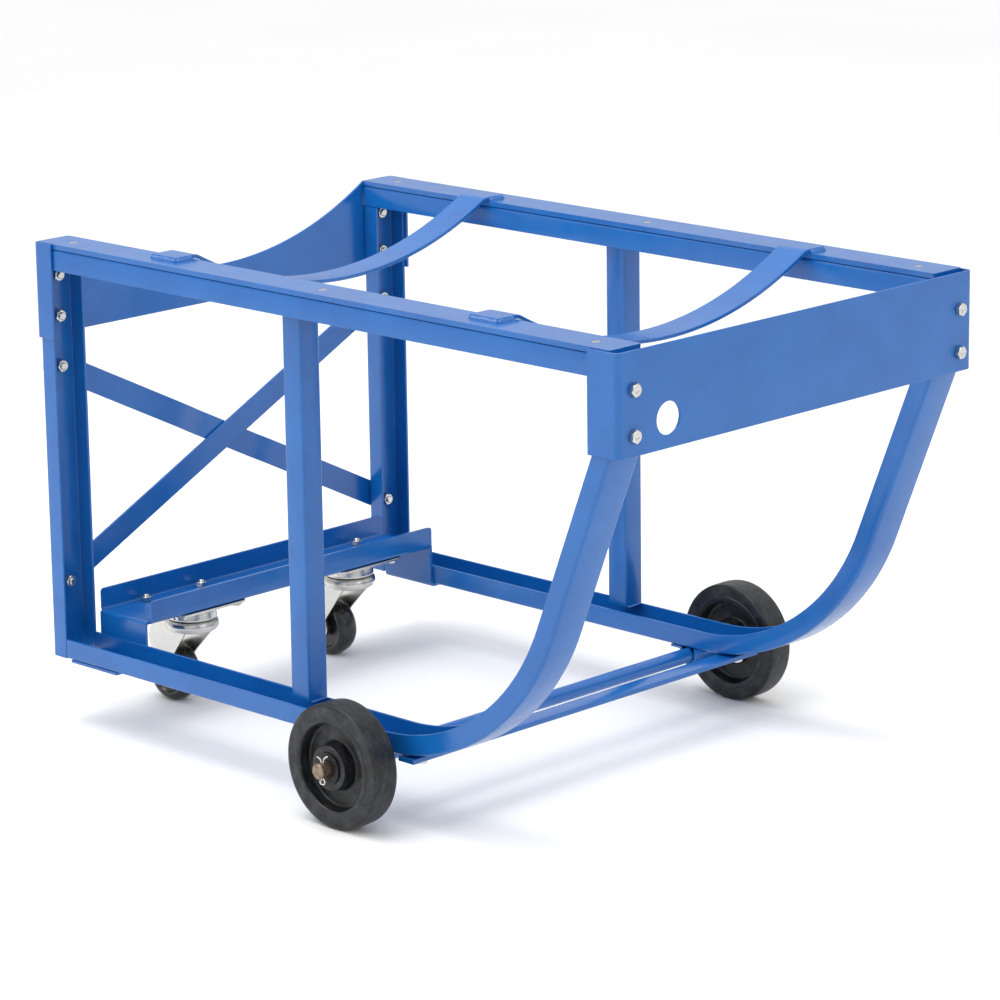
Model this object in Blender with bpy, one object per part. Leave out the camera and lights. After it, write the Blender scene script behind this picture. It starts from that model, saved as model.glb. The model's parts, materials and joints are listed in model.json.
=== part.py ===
"""Rocking drum cradle cart: two channel side frames, saddle straps, end plates,
two large wheels on a through axle and two swivel casters under a cross tray.

Metres, +Z up. +X points to the curved-leg end, the left side is +Y.
The origin is under the middle of the cart, on the floor.
"""

import math

import bmesh
import bpy
from mathutils import Matrix, Vector

for old in list(bpy.data.objects):
    bpy.data.objects.remove(old, do_unlink=True)

IN = 0.0254
GAP = 0.0003  # between pieces that touch

# ---- overall sizes
FRAME_WIDTH = 24 * IN  # outer faces of the two side frames
STRIP_TOP = 0.620  # top of the cap strips above the floor
FRAME_LENGTH = 0.9836  # rear face of the posts to the front face of the front plate

# ---- channel sections
CHANNEL_W = 2 * IN
CHANNEL_B = 1 * IN  # flange depth of posts, bottom rails and legs
TOP_RAIL_B = 0.0270  # flange depth of the top rails
CHANNEL_T = 0.0032
CHANNEL_R = 0.0040  # outside corner radius

# ---- curved leg
LEG_BEND_R = 0.300
LEG_LEAN = math.radians(68.0)  # slope of the straight part
LEG_TOP_R = 0.100
LEG_TOP_RUN = 0.038  # upright end under the top rail

# ---- middle posts
POST_SIDE = 1.25 * IN
POST_AT = 0.4461  # share of the frame length
POST_WALL = 0.0030

# ---- cap strips and saddle straps
STRIP_T = 0.25 * IN
STRIP_SHORT = 0.0139  # how much shorter than the frame
STRAP_W = 1.75 * IN
STRAP_T = 0.1875 * IN
STRAP_REAR_X = 0.2120
STRAP_FRONT_BACK = 0.2286  # front strap to the front of the frame
STRAP_END_INSET = 0.0228  # strap end to outer face of the frame
STRAP_DIP = 0.0650  # lowest point below the flat ends
STRAP_KNEE_IN = 0.0012  # start of the knee inside the rail's inner edge
STRAP_KNEE_R = 0.020
STRAP_FACETS = 21

# ---- end plates, heights measured down from the top of the strips
PLATE_T = 0.0032
PLATE_R = 0.0072  # outside bend radius
PLATE_DOWN = 0.1210
FRONT_PLATE_UP = 0.0015
REAR_PLATE_UP = 0.0005
FRONT_WING = 0.0462  # length of the side flanges
REAR_WING = 0.0330
REAR_ARC_DOWN = 0.0745
HAND_HOLE_D = 1.5 * IN
HAND_HOLE_IN = 0.0279  # centre inside the leg's inner edge
HAND_HOLE_DOWN = 0.0867

# ---- brace
BRACE_W = 1.25 * IN
BRACE_T = 0.0032
BRACE_DOWN = 0.1610  # upper bolts below the top of the strips
BRACE_UP = 0.0939  # lower bolts above the bottom rail's underside
BRACE_RUN_OUT = 0.019  # bar end beyond the bolt

# ---- bolts, 3/8 in and 5/16 in
BOLT_D = 0.375 * IN
BOLT_AF = 0.5625 * IN
BOLT_HEAD = 0.0062
BOLT_NUT = 0.0083
SMALL_D = 0.3125 * IN
SMALL_AF = 0.5 * IN
SMALL_HEAD = 0.0052
SMALL_NUT = 0.0068
BOLT_SPARE = 0.0028  # thread past the nut
PLATE_BOLT_DOWN = (0.0450, 0.0970)
FRONT_BOLT_OUT = 0.0041  # front plate bolts outside the middle of the leg

# ---- axle and large wheels
WHEEL_D = 6 * IN
WHEEL_W = 1.5 * IN
WHEEL_OUT = 0.0447  # wheel middle outside the frame
WHEEL_HUB_L = 1.75 * IN
WHEEL_HUB_R = 0.0275
WHEEL_RIM_R = 0.0550
WHEEL_WEB_T = 0.0130
AXLE_D = 0.75 * IN
AXLE_BACK = 0.0214  # axle behind the start of the leg's bend
AXLE_OUT = 0.0400  # axle end outside the wheel middle
BUSH_R = 0.0125
WASHER_R = 0.0195
WASHER_T = 0.0020
SLEEVE_R = 0.0135
PIN_R = 0.0017
PIN_IN = 0.0085  # pin centre to axle end
SADDLE_HALF = 0.0286
SADDLE_T = 0.0032

# ---- tie bar
TIE_W = 1 * IN
TIE_T = 0.0063
TIE_AHEAD = 0.0270  # bar's rear edge ahead of the start of the bend

# ---- caster tray
TRAY_X = (0.0275, 0.1255)
TRAY_RISE = 0.0509  # underside of the floor above the bottom rail's underside
TRAY_H = 0.0300
TRAY_T = 0.0035
TRAY_END_IN = 0.0006  # tray end to inner face of the bottom rail
TRAY_FOOT_OUT = 0.0500  # foot under the rail

# ---- casters, heights measured down from the tray floor
CASTER_X = 0.0780
CASTER_Y = 0.1390
CASTER_PLATE = (0.0930, 0.1140, 0.0032)
CASTER_HOLES = (0.0333, 0.0470)  # half spacing of the four bolts
CASTER_CUP_R = 0.0325
CASTER_CUP_DOWN = 0.0200
CROWN_R = 0.0355
CROWN_DOWN = (0.0360, 0.0210)
CASTER_TRAIL = 0.0360
CASTER_D = 3 * IN
CASTER_W = 0.0300
FORK_IN = 0.0180  # inner half width
FORK_T = 0.0030
FORK_EYE_R = 0.0130
KING_R = 0.0060

BIG_SEGMENTS = 40
CASTER_SEGMENTS = 28

# ---- values that follow
WHEEL_R = WHEEL_D / 2
AXLE_R = AXLE_D / 2
CASTER_R = CASTER_D / 2
MID_X = (FRAME_LENGTH - GAP - PLATE_T) / 2
HALF_W = FRAME_WIDTH / 2
RAIL_Y = HALF_W - CHANNEL_W / 2
RAIL_TOP = STRIP_TOP - STRIP_T - GAP
RAIL_LOW = RAIL_TOP - TOP_RAIL_B
RAIL_UNDER = WHEEL_R + AXLE_R + 0.0004  # the rails rest on the axle
PLATE_IN_X = FRAME_LENGTH - PLATE_T
WEB_X = PLATE_IN_X - GAP
END_CLEAR = 0.6 * (PLATE_R - PLATE_T)  # rail ends clear the bends of the end plates
POST_X = POST_AT * FRAME_LENGTH

LEG_SIN = math.sin(LEG_LEAN)
LEG_COS = math.cos(LEG_LEAN)
leg_rise = RAIL_LOW - GAP - RAIL_UNDER - LEG_BEND_R * (1 - LEG_COS)
LEG_RUN = (leg_rise - LEG_TOP_R * LEG_COS - LEG_TOP_RUN) / LEG_SIN
leg_reach = LEG_BEND_R * LEG_SIN + LEG_RUN * LEG_COS + LEG_TOP_R * (1 - LEG_SIN)
LEG_BEND_X = WEB_X - leg_reach  # where the bottom rail starts to curve
AXLE_X = LEG_BEND_X - AXLE_BACK
TIE_X = (LEG_BEND_X + TIE_AHEAD, LEG_BEND_X + TIE_AHEAD + TIE_W)
TIE_Z = (RAIL_UNDER + 0.0002 - TIE_T, RAIL_UNDER + 0.0002)
WHEEL_Y = HALF_W + WHEEL_OUT
AXLE_HALF = WHEEL_Y + AXLE_OUT

STRIP_LENGTH = FRAME_LENGTH - STRIP_SHORT
STRAP_KNEE_Y = HALF_W - CHANNEL_W - STRAP_KNEE_IN
STRAP_R = (STRAP_KNEE_Y**2 + (STRAP_DIP - STRAP_KNEE_R) ** 2 - STRAP_KNEE_R**2) / (2 * STRAP_DIP)
FRONT_PLATE_Z = (STRIP_TOP - PLATE_DOWN, STRIP_TOP - FRONT_PLATE_UP)
REAR_PLATE_Z = (STRIP_TOP - PLATE_DOWN, STRIP_TOP - REAR_PLATE_UP)
REAR_ARC_LOW = STRIP_TOP - REAR_ARC_DOWN
rear_chord = HALF_W - CHANNEL_W + 0.002
rear_sag = REAR_ARC_DOWN - REAR_PLATE_UP
REAR_ARC_R = (rear_chord**2 + rear_sag**2) / (2 * rear_sag)
HAND_HOLE_Y = -(HALF_W - CHANNEL_W - HAND_HOLE_IN)
HAND_HOLE_Z = STRIP_TOP - HAND_HOLE_DOWN
PLATE_BOLT_Z = tuple(STRIP_TOP - down for down in PLATE_BOLT_DOWN)
BRACE_Z = (STRIP_TOP - BRACE_DOWN, RAIL_UNDER + BRACE_UP)
TRAY_FLOOR = RAIL_UNDER + TRAY_RISE
CASTER_CUP_Z = TRAY_FLOOR - CASTER_CUP_DOWN
CROWN_Z = (TRAY_FLOOR - CROWN_DOWN[0], TRAY_FLOOR - CROWN_DOWN[1])


def paint(name, rgb, rough, metal):
    mat = bpy.data.materials.new(name)
    mat.use_nodes = True
    bsdf = mat.node_tree.nodes["Principled BSDF"]
    bsdf.inputs["Base Color"].default_value = (*rgb, 1.0)
    bsdf.inputs["Roughness"].default_value = rough
    bsdf.inputs["Metallic"].default_value = metal
    mat.diffuse_color = (*rgb, 1.0)
    return mat


BLUE = paint("blue_paint", (0.040, 0.130, 0.480), 0.30, 0.0)
ZINC = paint("zinc_plate", (0.62, 0.63, 0.64), 0.32, 1.0)
STEEL = paint("bare_steel", (0.42, 0.38, 0.35), 0.45, 1.0)
RUBBER = paint("black_rubber", (0.016, 0.016, 0.017), 0.62, 0.0)


def place(bm, name, mat, origin=(0, 0, 0), smooth=None):
    """Object from a mesh in cart coordinates, with its own origin at that point."""
    bmesh.ops.recalc_face_normals(bm, faces=bm.faces)
    shift = Vector((-MID_X, 0, 0))
    at = Vector(origin)
    bmesh.ops.translate(bm, verts=bm.verts, vec=-at)
    mesh = bpy.data.meshes.new(name)
    bm.to_mesh(mesh)
    bm.free()
    mesh.materials.append(mat)
    obj = bpy.data.objects.new(name, mesh)
    bpy.context.scene.collection.objects.link(obj)
    obj.location = at + shift
    if smooth is not None:
        mesh.shade_smooth()
        mesh.set_sharp_from_angle(angle=math.radians(smooth))
    return obj


def cutter(bm, name):
    obj = place(bm, name, BLUE)
    obj.hide_render = True
    obj.display_type = "WIRE"
    return obj


def cut(obj, tool, operation="DIFFERENCE"):
    mod = obj.modifiers.new(tool.name, "BOOLEAN")
    mod.operation = operation
    mod.solver = "EXACT"
    mod.object = tool


def arc(centre, radius, start, end, steps):
    """Points on a circle in a plane, angles in radians."""
    points = []
    for i in range(steps + 1):
        a = start + (end - start) * i / steps
        points.append((centre[0] + radius * math.cos(a), centre[1] + radius * math.sin(a)))
    return points


def channel(width, depth, wall, radius):
    """C outline: web along v = 0, flanges towards +v."""
    h = width / 2
    ri = max(radius - wall, 0.0006)
    pts = [(-h, depth)]
    pts += arc((-h + radius, radius), radius, math.pi, 1.5 * math.pi, 3)
    pts += arc((h - radius, radius), radius, 1.5 * math.pi, 2 * math.pi, 3)
    pts += [(h, depth), (h - wall, depth)]
    pts += arc((h - wall - ri, wall + ri), ri, 0, -0.5 * math.pi, 2)
    pts += arc((-h + wall + ri, wall + ri), ri, -0.5 * math.pi, -math.pi, 2)
    pts += [(-h + wall, depth)]
    return pts


def rounded_box(wide, deep, radius, steps=2):
    h = wide / 2
    d = deep / 2
    pts = []
    for cx, cy, start in (
        (h - radius, d - radius, 0),
        (-h + radius, d - radius, 1),
        (-h + radius, -d + radius, 2),
        (h - radius, -d + radius, 3),
    ):
        pts += arc((cx, cy), radius, start * math.pi / 2, (start + 1) * math.pi / 2, steps)
    return pts


def laid(points, origin, u, v):
    """2D points laid out along two axes."""
    origin = Vector(origin)
    u = Vector(u)
    v = Vector(v)
    return [origin + u * a + v * b for a, b in points]


def slid(loop, vec):
    return [p + Vector(vec) for p in loop]


def swung(loop, centre, axis, angle):
    turn = Matrix.Rotation(angle, 3, axis)
    return [centre + turn @ (p - centre) for p in loop]


def rings(bm, loops, closed=False):
    """Skin over loops of equal count. Ends are capped unless the row closes."""
    rows = [[bm.verts.new(p) for p in loop] for loop in loops]
    count = len(rows[0])
    pairs = list(zip(rows, rows[1:]))
    if closed:
        pairs.append((rows[-1], rows[0]))
    for a, b in pairs:
        for i in range(count):
            j = (i + 1) % count
            bm.faces.new((a[i], a[j], b[j], b[i]))
    if not closed:
        bm.faces.new(rows[0])
        bm.faces.new(rows[-1])


def prism(points, origin, u, v, vec):
    bm = bmesh.new()
    start = laid(points, origin, u, v)
    rings(bm, [start, slid(start, vec)])
    return bm


def circle_at(centre, axis, radius, count, corner=None):
    """A ring of points round an axis. With corner set it is a hexagon of that radius."""
    axis = Vector(axis).normalized()
    side = Vector((0, 0, 1)) if abs(axis.z) < 0.9 else Vector((1, 0, 0))
    e1 = side.cross(axis).normalized()
    e2 = axis.cross(e1)
    points = []
    for i in range(count):
        a = 2 * math.pi * (i + 0.5) / count
        r = radius
        if corner:
            r = corner if i % 2 == 0 else corner * math.cos(math.pi / 6)
            a = 2 * math.pi * i / count
        points.append(Vector(centre) + e1 * (r * math.cos(a)) + e2 * (r * math.sin(a)))
    return points


def turned(profile, centre, axis, count, closed=True, flats=False):
    """Revolves (radius, along) points. Closed makes a ring with a bore.

    With flats set the radius is that of the flats, so a wheel stands on one.
    """
    axis = Vector(axis)
    centre = Vector(centre)
    grow = 1 / math.cos(math.pi / count) if flats else 1
    loops = [circle_at(centre + axis * along, axis, r * grow, count) for r, along in profile]
    bm = bmesh.new()
    rings(bm, loops, closed)
    return bm


def bolt(head, axis, diameter, flats, head_h, grip, nut_h):
    """Hex bolt with its nut. Head underside at the given point, shank along the axis."""
    head = Vector(head)
    axis = Vector(axis)
    corner = flats / 2 / math.cos(math.pi / 6)
    d = diameter / 2

    def round_at(a, r):
        points = []
        base = circle_at(head + axis * a, axis, r, 12, corner)
        mid = head + axis * a
        for p in base:
            points.append(mid + (p - mid).normalized() * r)
        return points

    def hex_at(a):
        return circle_at(head + axis * a, axis, 0, 12, corner)

    loops = [
        round_at(-head_h, flats * 0.47),
        hex_at(-head_h + 0.0012),
        hex_at(0),
        round_at(0, d),
        round_at(grip, d),
        hex_at(grip),
        hex_at(grip + nut_h - 0.0010),
        round_at(grip + nut_h, flats * 0.47),
        round_at(grip + nut_h, d),
        round_at(grip + nut_h + BOLT_SPARE, d - 0.0008),
    ]
    bm = bmesh.new()
    rings(bm, loops)
    return bm


def rods(places, radius, count=16):
    """One cutter mesh of several straight rods, each (start, end)."""
    bm = bmesh.new()
    for start, end in places:
        axis = Vector(end) - Vector(start)
        rings(bm, [circle_at(p, axis, radius, count) for p in (start, end)])
    bmesh.ops.recalc_face_normals(bm, faces=bm.faces)
    return bm


SIDES = (("r", -1), ("l", 1))


# ---- side frames
def side_frame(tag, side):
    y = side * RAIL_Y
    section = channel(CHANNEL_W, CHANNEL_B, CHANNEL_T, CHANNEL_R)
    top_section = channel(CHANNEL_W, TOP_RAIL_B, CHANNEL_T, CHANNEL_R)

    start = (END_CLEAR, y, RAIL_TOP)
    run = (WEB_X - 2 * END_CLEAR, 0, 0)
    bm = prism(top_section, start, (0, 1, 0), (0, 0, -1), run)
    place(bm, f"top_rail_{tag}", BLUE, smooth=35)

    height = RAIL_LOW - GAP - RAIL_UNDER
    bm = prism(section, (0, y, RAIL_UNDER), (0, 1, 0), (1, 0, 0), (0, 0, height))
    place(bm, f"rear_post_{tag}", BLUE, smooth=35)

    start = CHANNEL_B + GAP
    loops = [laid(section, (start, y, RAIL_UNDER), (0, 1, 0), (0, 0, 1))]
    loops.append(slid(loops[0], (LEG_BEND_X - start, 0, 0)))
    foot = loops[-1]
    centre = Vector((LEG_BEND_X, y, RAIL_UNDER + LEG_BEND_R))
    steps = 14
    for i in range(steps):
        loops.append(swung(foot, centre, "Y", -LEG_LEAN * (i + 1) / steps))
    loops.append(slid(loops[-1], (LEG_RUN * LEG_COS, 0, LEG_RUN * LEG_SIN)))
    knee = loops[-1]
    centre = Vector((WEB_X - LEG_TOP_R, y, RAIL_LOW - GAP - LEG_TOP_RUN))
    steps = 4
    for i in range(steps):
        loops.append(swung(knee, centre, "Y", (LEG_LEAN - math.pi / 2) * (i + 1) / steps))
    loops.append(slid(loops[-1], (0, 0, LEG_TOP_RUN)))
    bm = bmesh.new()
    rings(bm, loops)
    place(bm, f"bottom_rail_{tag}", BLUE, smooth=35)

    # both middle posts stand on the left-hand flanges of their rails
    post_y = y + CHANNEL_W / 2 - POST_SIDE / 2
    low = RAIL_UNDER + CHANNEL_B + GAP
    high = RAIL_LOW - GAP
    outer = rounded_box(POST_SIDE, POST_SIDE, 0.0030)
    inner = rounded_box(POST_SIDE - 2 * POST_WALL, POST_SIDE - 2 * POST_WALL, 0.0010)
    bm = bmesh.new()
    loops = []
    for outline, z in ((outer, low), (outer, high), (inner, high), (inner, low)):
        loops.append([Vector((POST_X + a, post_y + b, z)) for a, b in outline])
    rings(bm, loops, closed=True)
    place(bm, f"middle_post_{tag}", BLUE, smooth=35)

    c = 0.0025
    h = CHANNEL_W / 2
    outline = [
        (c, -h), (STRIP_LENGTH - c, -h), (STRIP_LENGTH, -h + c), (STRIP_LENGTH, h - c),
        (STRIP_LENGTH - c, h), (c, h), (0, h - c), (0, -h + c),
    ]
    base = (0, y, STRIP_TOP - STRIP_T)
    bm = prism(outline, base, (1, 0, 0), (0, 1, 0), (0, 0, STRIP_T))
    place(bm, f"cap_strip_{tag}", BLUE)


for tag, side in SIDES:
    side_frame(tag, side)


# ---- saddle straps
def strap_line(offset):
    """Half of the strap in (y, z), from its end to the middle, this far below the top."""
    z_flat = STRIP_TOP + GAP + STRAP_T
    z_low = z_flat - STRAP_DIP
    centre_z = z_low + STRAP_R
    knee_z = z_flat - STRAP_KNEE_R
    bend = math.atan2(STRAP_KNEE_Y, centre_z - knee_z)
    pts = [(HALF_W - STRAP_END_INSET, z_flat - offset)]
    knee_r = STRAP_KNEE_R - offset
    pts += arc((STRAP_KNEE_Y, knee_z), knee_r, math.pi / 2, math.pi / 2 + bend, 4)
    # an odd number of facets, so the lowest one lies flat
    step = 2 * bend / STRAP_FACETS
    low = -math.pi / 2
    pts += arc((0, centre_z), STRAP_R + offset, low + bend, low + step / 2, STRAP_FACETS // 2)[1:]
    return pts


def saddle_strap(name, x):
    upper = strap_line(0)
    lower = strap_line(STRAP_T)
    outline = upper + [(-y, z) for y, z in reversed(upper)]
    under = lower + [(-y, z) for y, z in reversed(lower)]
    outline += list(reversed(under))
    bm = prism(outline, (x - STRAP_W / 2, 0, 0), (0, 1, 0), (0, 0, 1), (STRAP_W, 0, 0))
    place(bm, name, BLUE, smooth=35)


saddle_strap("saddle_strap_rear", STRAP_REAR_X)
saddle_strap("saddle_strap_front", FRAME_LENGTH - STRAP_FRONT_BACK)


# ---- end plates
def tray_outline(face_x, wing, inward):
    """Plan view of a plate with a flange down each side. Inward is the wing direction."""
    half = HALF_W + GAP + PLATE_T
    quarter = math.pi / 2
    pts = []
    for r, h, depth in ((PLATE_R, half, 0.0), (PLATE_R - PLATE_T, half - PLATE_T, PLATE_T)):
        line = [(wing, -h)]
        line += arc((depth + r, -h + r), r, -quarter, -2 * quarter, 4)
        line += arc((depth + r, h - r), r, 2 * quarter, quarter, 4)
        line += [(wing, h)]
        pts.append(line)
    loop = pts[0] + list(reversed(pts[1]))
    return [(face_x + inward * a, b) for a, b in loop]


axis_x = Vector((1, 0, 0))
bolt_rods = []
bolt_jobs = []
rear_head = -GAP - PLATE_T - GAP
front_head = FRAME_LENGTH + GAP
for tag, side in SIDES:
    y = side * RAIL_Y
    front_y = side * (RAIL_Y + FRONT_BOLT_OUT)
    for i, z in enumerate(PLATE_BOLT_Z):
        bolt_rods.append(((-0.02, y, z), (0.02, y, z)))
        grip = CHANNEL_T + GAP - rear_head
        bolt_jobs.append((f"rear_plate_bolt_{tag}{i + 1}", (rear_head, y, z), 1, grip))
        bolt_rods.append(((FRAME_LENGTH - 0.03, front_y, z), (FRAME_LENGTH + 0.02, front_y, z)))
        grip = FRAME_LENGTH - WEB_X + CHANNEL_T + 2 * GAP + i * 0.0062
        bolt_jobs.append((f"front_plate_bolt_{tag}{i + 1}", (front_head, front_y, z), -1, grip))
    for i, z in enumerate(BRACE_Z):
        bolt_rods.append(((-0.02, y, z), (0.02, y, z)))
        grip = CHANNEL_T + GAP - rear_head
        bolt_jobs.append((f"brace_bolt_{tag}{i + 1}", (rear_head, y, z), 1, grip))

for name, head, way, grip in bolt_jobs:
    bm = bolt(head, axis_x * way, BOLT_D, BOLT_AF, BOLT_HEAD, grip, BOLT_NUT)
    place(bm, name, ZINC)

bolt_holes = cutter(rods(bolt_rods, BOLT_D / 2 + GAP), "bolt_holes")
hand_hole = cutter(
    rods(
        [
            (
                (FRAME_LENGTH - 0.02, HAND_HOLE_Y, HAND_HOLE_Z),
                (FRAME_LENGTH + 0.02, HAND_HOLE_Y, HAND_HOLE_Z),
            )
        ],
        HAND_HOLE_D / 2,
        32,
    ),
    "hand_hole",
)
arc_tool = cutter(
    rods(
        [
            (
                (-0.02, 0, REAR_ARC_LOW + REAR_ARC_R),
                (0.05, 0, REAR_ARC_LOW + REAR_ARC_R),
            )
        ],
        REAR_ARC_R,
        96,
    ),
    "rear_arc",
)

low, high = FRONT_PLATE_Z
outline = tray_outline(FRAME_LENGTH, FRONT_WING, -1)
bm = prism(outline, (0, 0, low), (1, 0, 0), (0, 1, 0), (0, 0, high - low))
front_plate = place(bm, "front_end_plate", BLUE, smooth=35)
cut(front_plate, bolt_holes)
cut(front_plate, hand_hole)

low, high = REAR_PLATE_Z
outline = tray_outline(-GAP - PLATE_T, REAR_WING, 1)
bm = prism(outline, (0, 0, low), (1, 0, 0), (0, 1, 0), (0, 0, high - low))
rear_plate = place(bm, "rear_end_plate", BLUE, smooth=35)
cut(rear_plate, bolt_holes)
cut(rear_plate, arc_tool)

for tag, side in SIDES:
    cut(bpy.data.objects[f"rear_post_{tag}"], bolt_holes)
    cut(bpy.data.objects[f"bottom_rail_{tag}"], bolt_holes)


# ---- cross brace
def brace_bar(name, way, joggle):
    """Flat bar between the posts. Way +1 rises to the left."""
    mid_z = (BRACE_Z[0] + BRACE_Z[1]) / 2
    rise = BRACE_Z[0] - BRACE_Z[1]
    along = Vector((0, 2 * RAIL_Y, way * rise)).normalized()
    across = Vector((1, 0, 0)).cross(along)
    half = math.hypot(RAIL_Y, rise / 2) + BRACE_RUN_OUT
    rear = -GAP - BRACE_T
    clear = BRACE_W * 0.5 * (half / RAIL_Y) + 0.012
    stops = [(-half, 0.0), (half, 0.0)]
    if joggle:
        inner = clear * 1.25
        outer = inner + 0.02
        stops = [(-half, 0.0), (-outer, 0.0), (-inner, 1.0)]
        stops += [(inner, 1.0), (outer, 0.0), (half, 0.0)]
    loops = []
    for s, step in stops:
        x = rear - step * (BRACE_T + GAP)
        mid = Vector((x, 0, mid_z)) + along * s
        loop = []
        for dx, dw in ((0, -0.5), (BRACE_T, -0.5), (BRACE_T, 0.5), (0, 0.5)):
            loop.append(mid + Vector((dx, 0, 0)) + across * (dw * BRACE_W))
        loops.append(loop)
    bm = bmesh.new()
    rings(bm, loops)
    bar = place(bm, name, BLUE)
    cut(bar, bolt_holes)


brace_bar("brace_bar_a", 1, False)
brace_bar("brace_bar_b", -1, True)

# ---- caster tray: a channel whose floor turns down and out at both ends
tray_mid = (TRAY_X[0] + TRAY_X[1]) / 2
tray_w = TRAY_X[1] - TRAY_X[0]
end_y = HALF_W - CHANNEL_W - TRAY_END_IN
foot_top = RAIL_UNDER - GAP
bend = 0.006
inner_r = bend - TRAY_T
top_z = TRAY_FLOOR + TRAY_T
foot_low = foot_top - TRAY_T
wall_in = end_y - TRAY_T
q = math.pi / 2
upper = [(0.0, top_z)]
upper += arc((end_y - bend, top_z - bend), bend, q, 0, 3)
upper += arc((end_y + inner_r, foot_top + inner_r), inner_r, -2 * q, -q, 3)
upper += [(wall_in + TRAY_T + TRAY_FOOT_OUT, foot_top)]
lower = [(0.0, TRAY_FLOOR)]
lower += arc((end_y - bend, top_z - bend), inner_r, q, 0, 3)
lower += arc((end_y + inner_r, foot_top + inner_r), bend, -2 * q, -q, 3)
lower += [(wall_in + TRAY_T + TRAY_FOOT_OUT, foot_low)]
outline = [(-y, z) for y, z in reversed(upper)] + upper[1:]
outline += list(reversed(lower)) + [(-y, z) for y, z in lower[1:]]
bm = prism(outline, (TRAY_X[0], 0, 0), (0, 1, 0), (0, 0, 1), (tray_w, 0, 0))
tray = place(bm, "caster_tray", BLUE, smooth=35)

flange_y = end_y - bend
for name, x0 in (("tray_flange_rear", TRAY_X[0]), ("tray_flange_front", TRAY_X[1] - TRAY_T)):
    c = 0.004
    low = TRAY_FLOOR + 0.0010
    high = TRAY_FLOOR + TRAY_H
    outline = [
        (-flange_y, low), (flange_y, low), (flange_y, high - c), (flange_y - c, high),
        (-flange_y + c, high), (-flange_y, high - c),
    ]
    bm = prism(outline, (x0, 0, 0), (0, 1, 0), (0, 0, 1), (TRAY_T, 0, 0))
    cut(tray, cutter(bm, name), "UNION")

# ---- axle, its two saddles and the tie bar
profile = [
    (AXLE_R - 0.0012, -AXLE_HALF), (AXLE_R, -AXLE_HALF + 0.0012),
    (AXLE_R, AXLE_HALF - 0.0012), (AXLE_R - 0.0012, AXLE_HALF),
]
bm = turned(profile, (AXLE_X, 0, WHEEL_R), (0, 1, 0), 24, closed=False)
axle = place(bm, "axle", STEEL, (AXLE_X, 0, WHEEL_R), smooth=35)
pin_y = AXLE_HALF - PIN_IN
pin_rods = []
for tag, side in SIDES:
    y = side * pin_y
    pin_rods.append(((AXLE_X, y, WHEEL_R - 0.02), (AXLE_X, y, WHEEL_R + 0.02)))
cut(axle, cutter(rods(pin_rods, PIN_R + GAP, 12), "pin_holes"))

tie_mid = (TIE_X[0] + TIE_X[1]) / 2
tie_rods = []
for tag, side in SIDES:
    y0 = side * RAIL_Y
    saddle_w = CHANNEL_W - 0.002
    r_in = AXLE_R + GAP
    r_out = r_in + SADDLE_T
    z_top = RAIL_UNDER - GAP
    z_flange = z_top - SADDLE_T
    outer = [(SADDLE_HALF, z_top), (SADDLE_HALF, z_flange), (r_out, z_flange)]
    outer += arc((0, WHEEL_R), r_out, 0, -math.pi, 12)
    outer += [(-r_out, z_flange), (-SADDLE_HALF, z_flange), (-SADDLE_HALF, z_top)]
    inner = [(-r_in, z_top)] + arc((0, WHEEL_R), r_in, -math.pi, 0, 12) + [(r_in, z_top)]
    outline = outer + inner
    start = (AXLE_X, y0 - saddle_w / 2, 0)
    bm = prism(outline, start, (1, 0, 0), (0, 0, 1), (0, saddle_w, 0))
    place(bm, f"axle_saddle_{tag}", BLUE, smooth=35)

    rise = LEG_BEND_R - math.sqrt(LEG_BEND_R**2 - (tie_mid - LEG_BEND_X) ** 2)
    tie_rods.append(((tie_mid, y0, 0.06), (tie_mid, y0, 0.11)))
    head = (tie_mid, y0, TIE_Z[0] - GAP)
    lift = SMALL_AF * 0.58 * (tie_mid - LEG_BEND_X) / LEG_BEND_R + GAP
    grip = RAIL_UNDER + rise + CHANNEL_T + lift - head[2]
    bm = bolt(head, (0, 0, 1), SMALL_D, SMALL_AF, SMALL_HEAD, grip, SMALL_NUT)
    place(bm, f"tie_bar_bolt_{tag}", ZINC)

tie_holes = cutter(rods(tie_rods, SMALL_D / 2 + GAP, 12), "tie_holes")
outline = [
    (TIE_X[0], TIE_Z[0]), (TIE_X[1], TIE_Z[0]), (TIE_X[1], TIE_Z[1]), (TIE_X[0], TIE_Z[1]),
]
bm = prism(outline, (0, -HALF_W, 0), (1, 0, 0), (0, 0, 1), (0, FRAME_WIDTH, 0))
cut(place(bm, "tie_bar", BLUE), tie_holes)
for tag, side in SIDES:
    cut(bpy.data.objects[f"bottom_rail_{tag}"], tie_holes)


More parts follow.
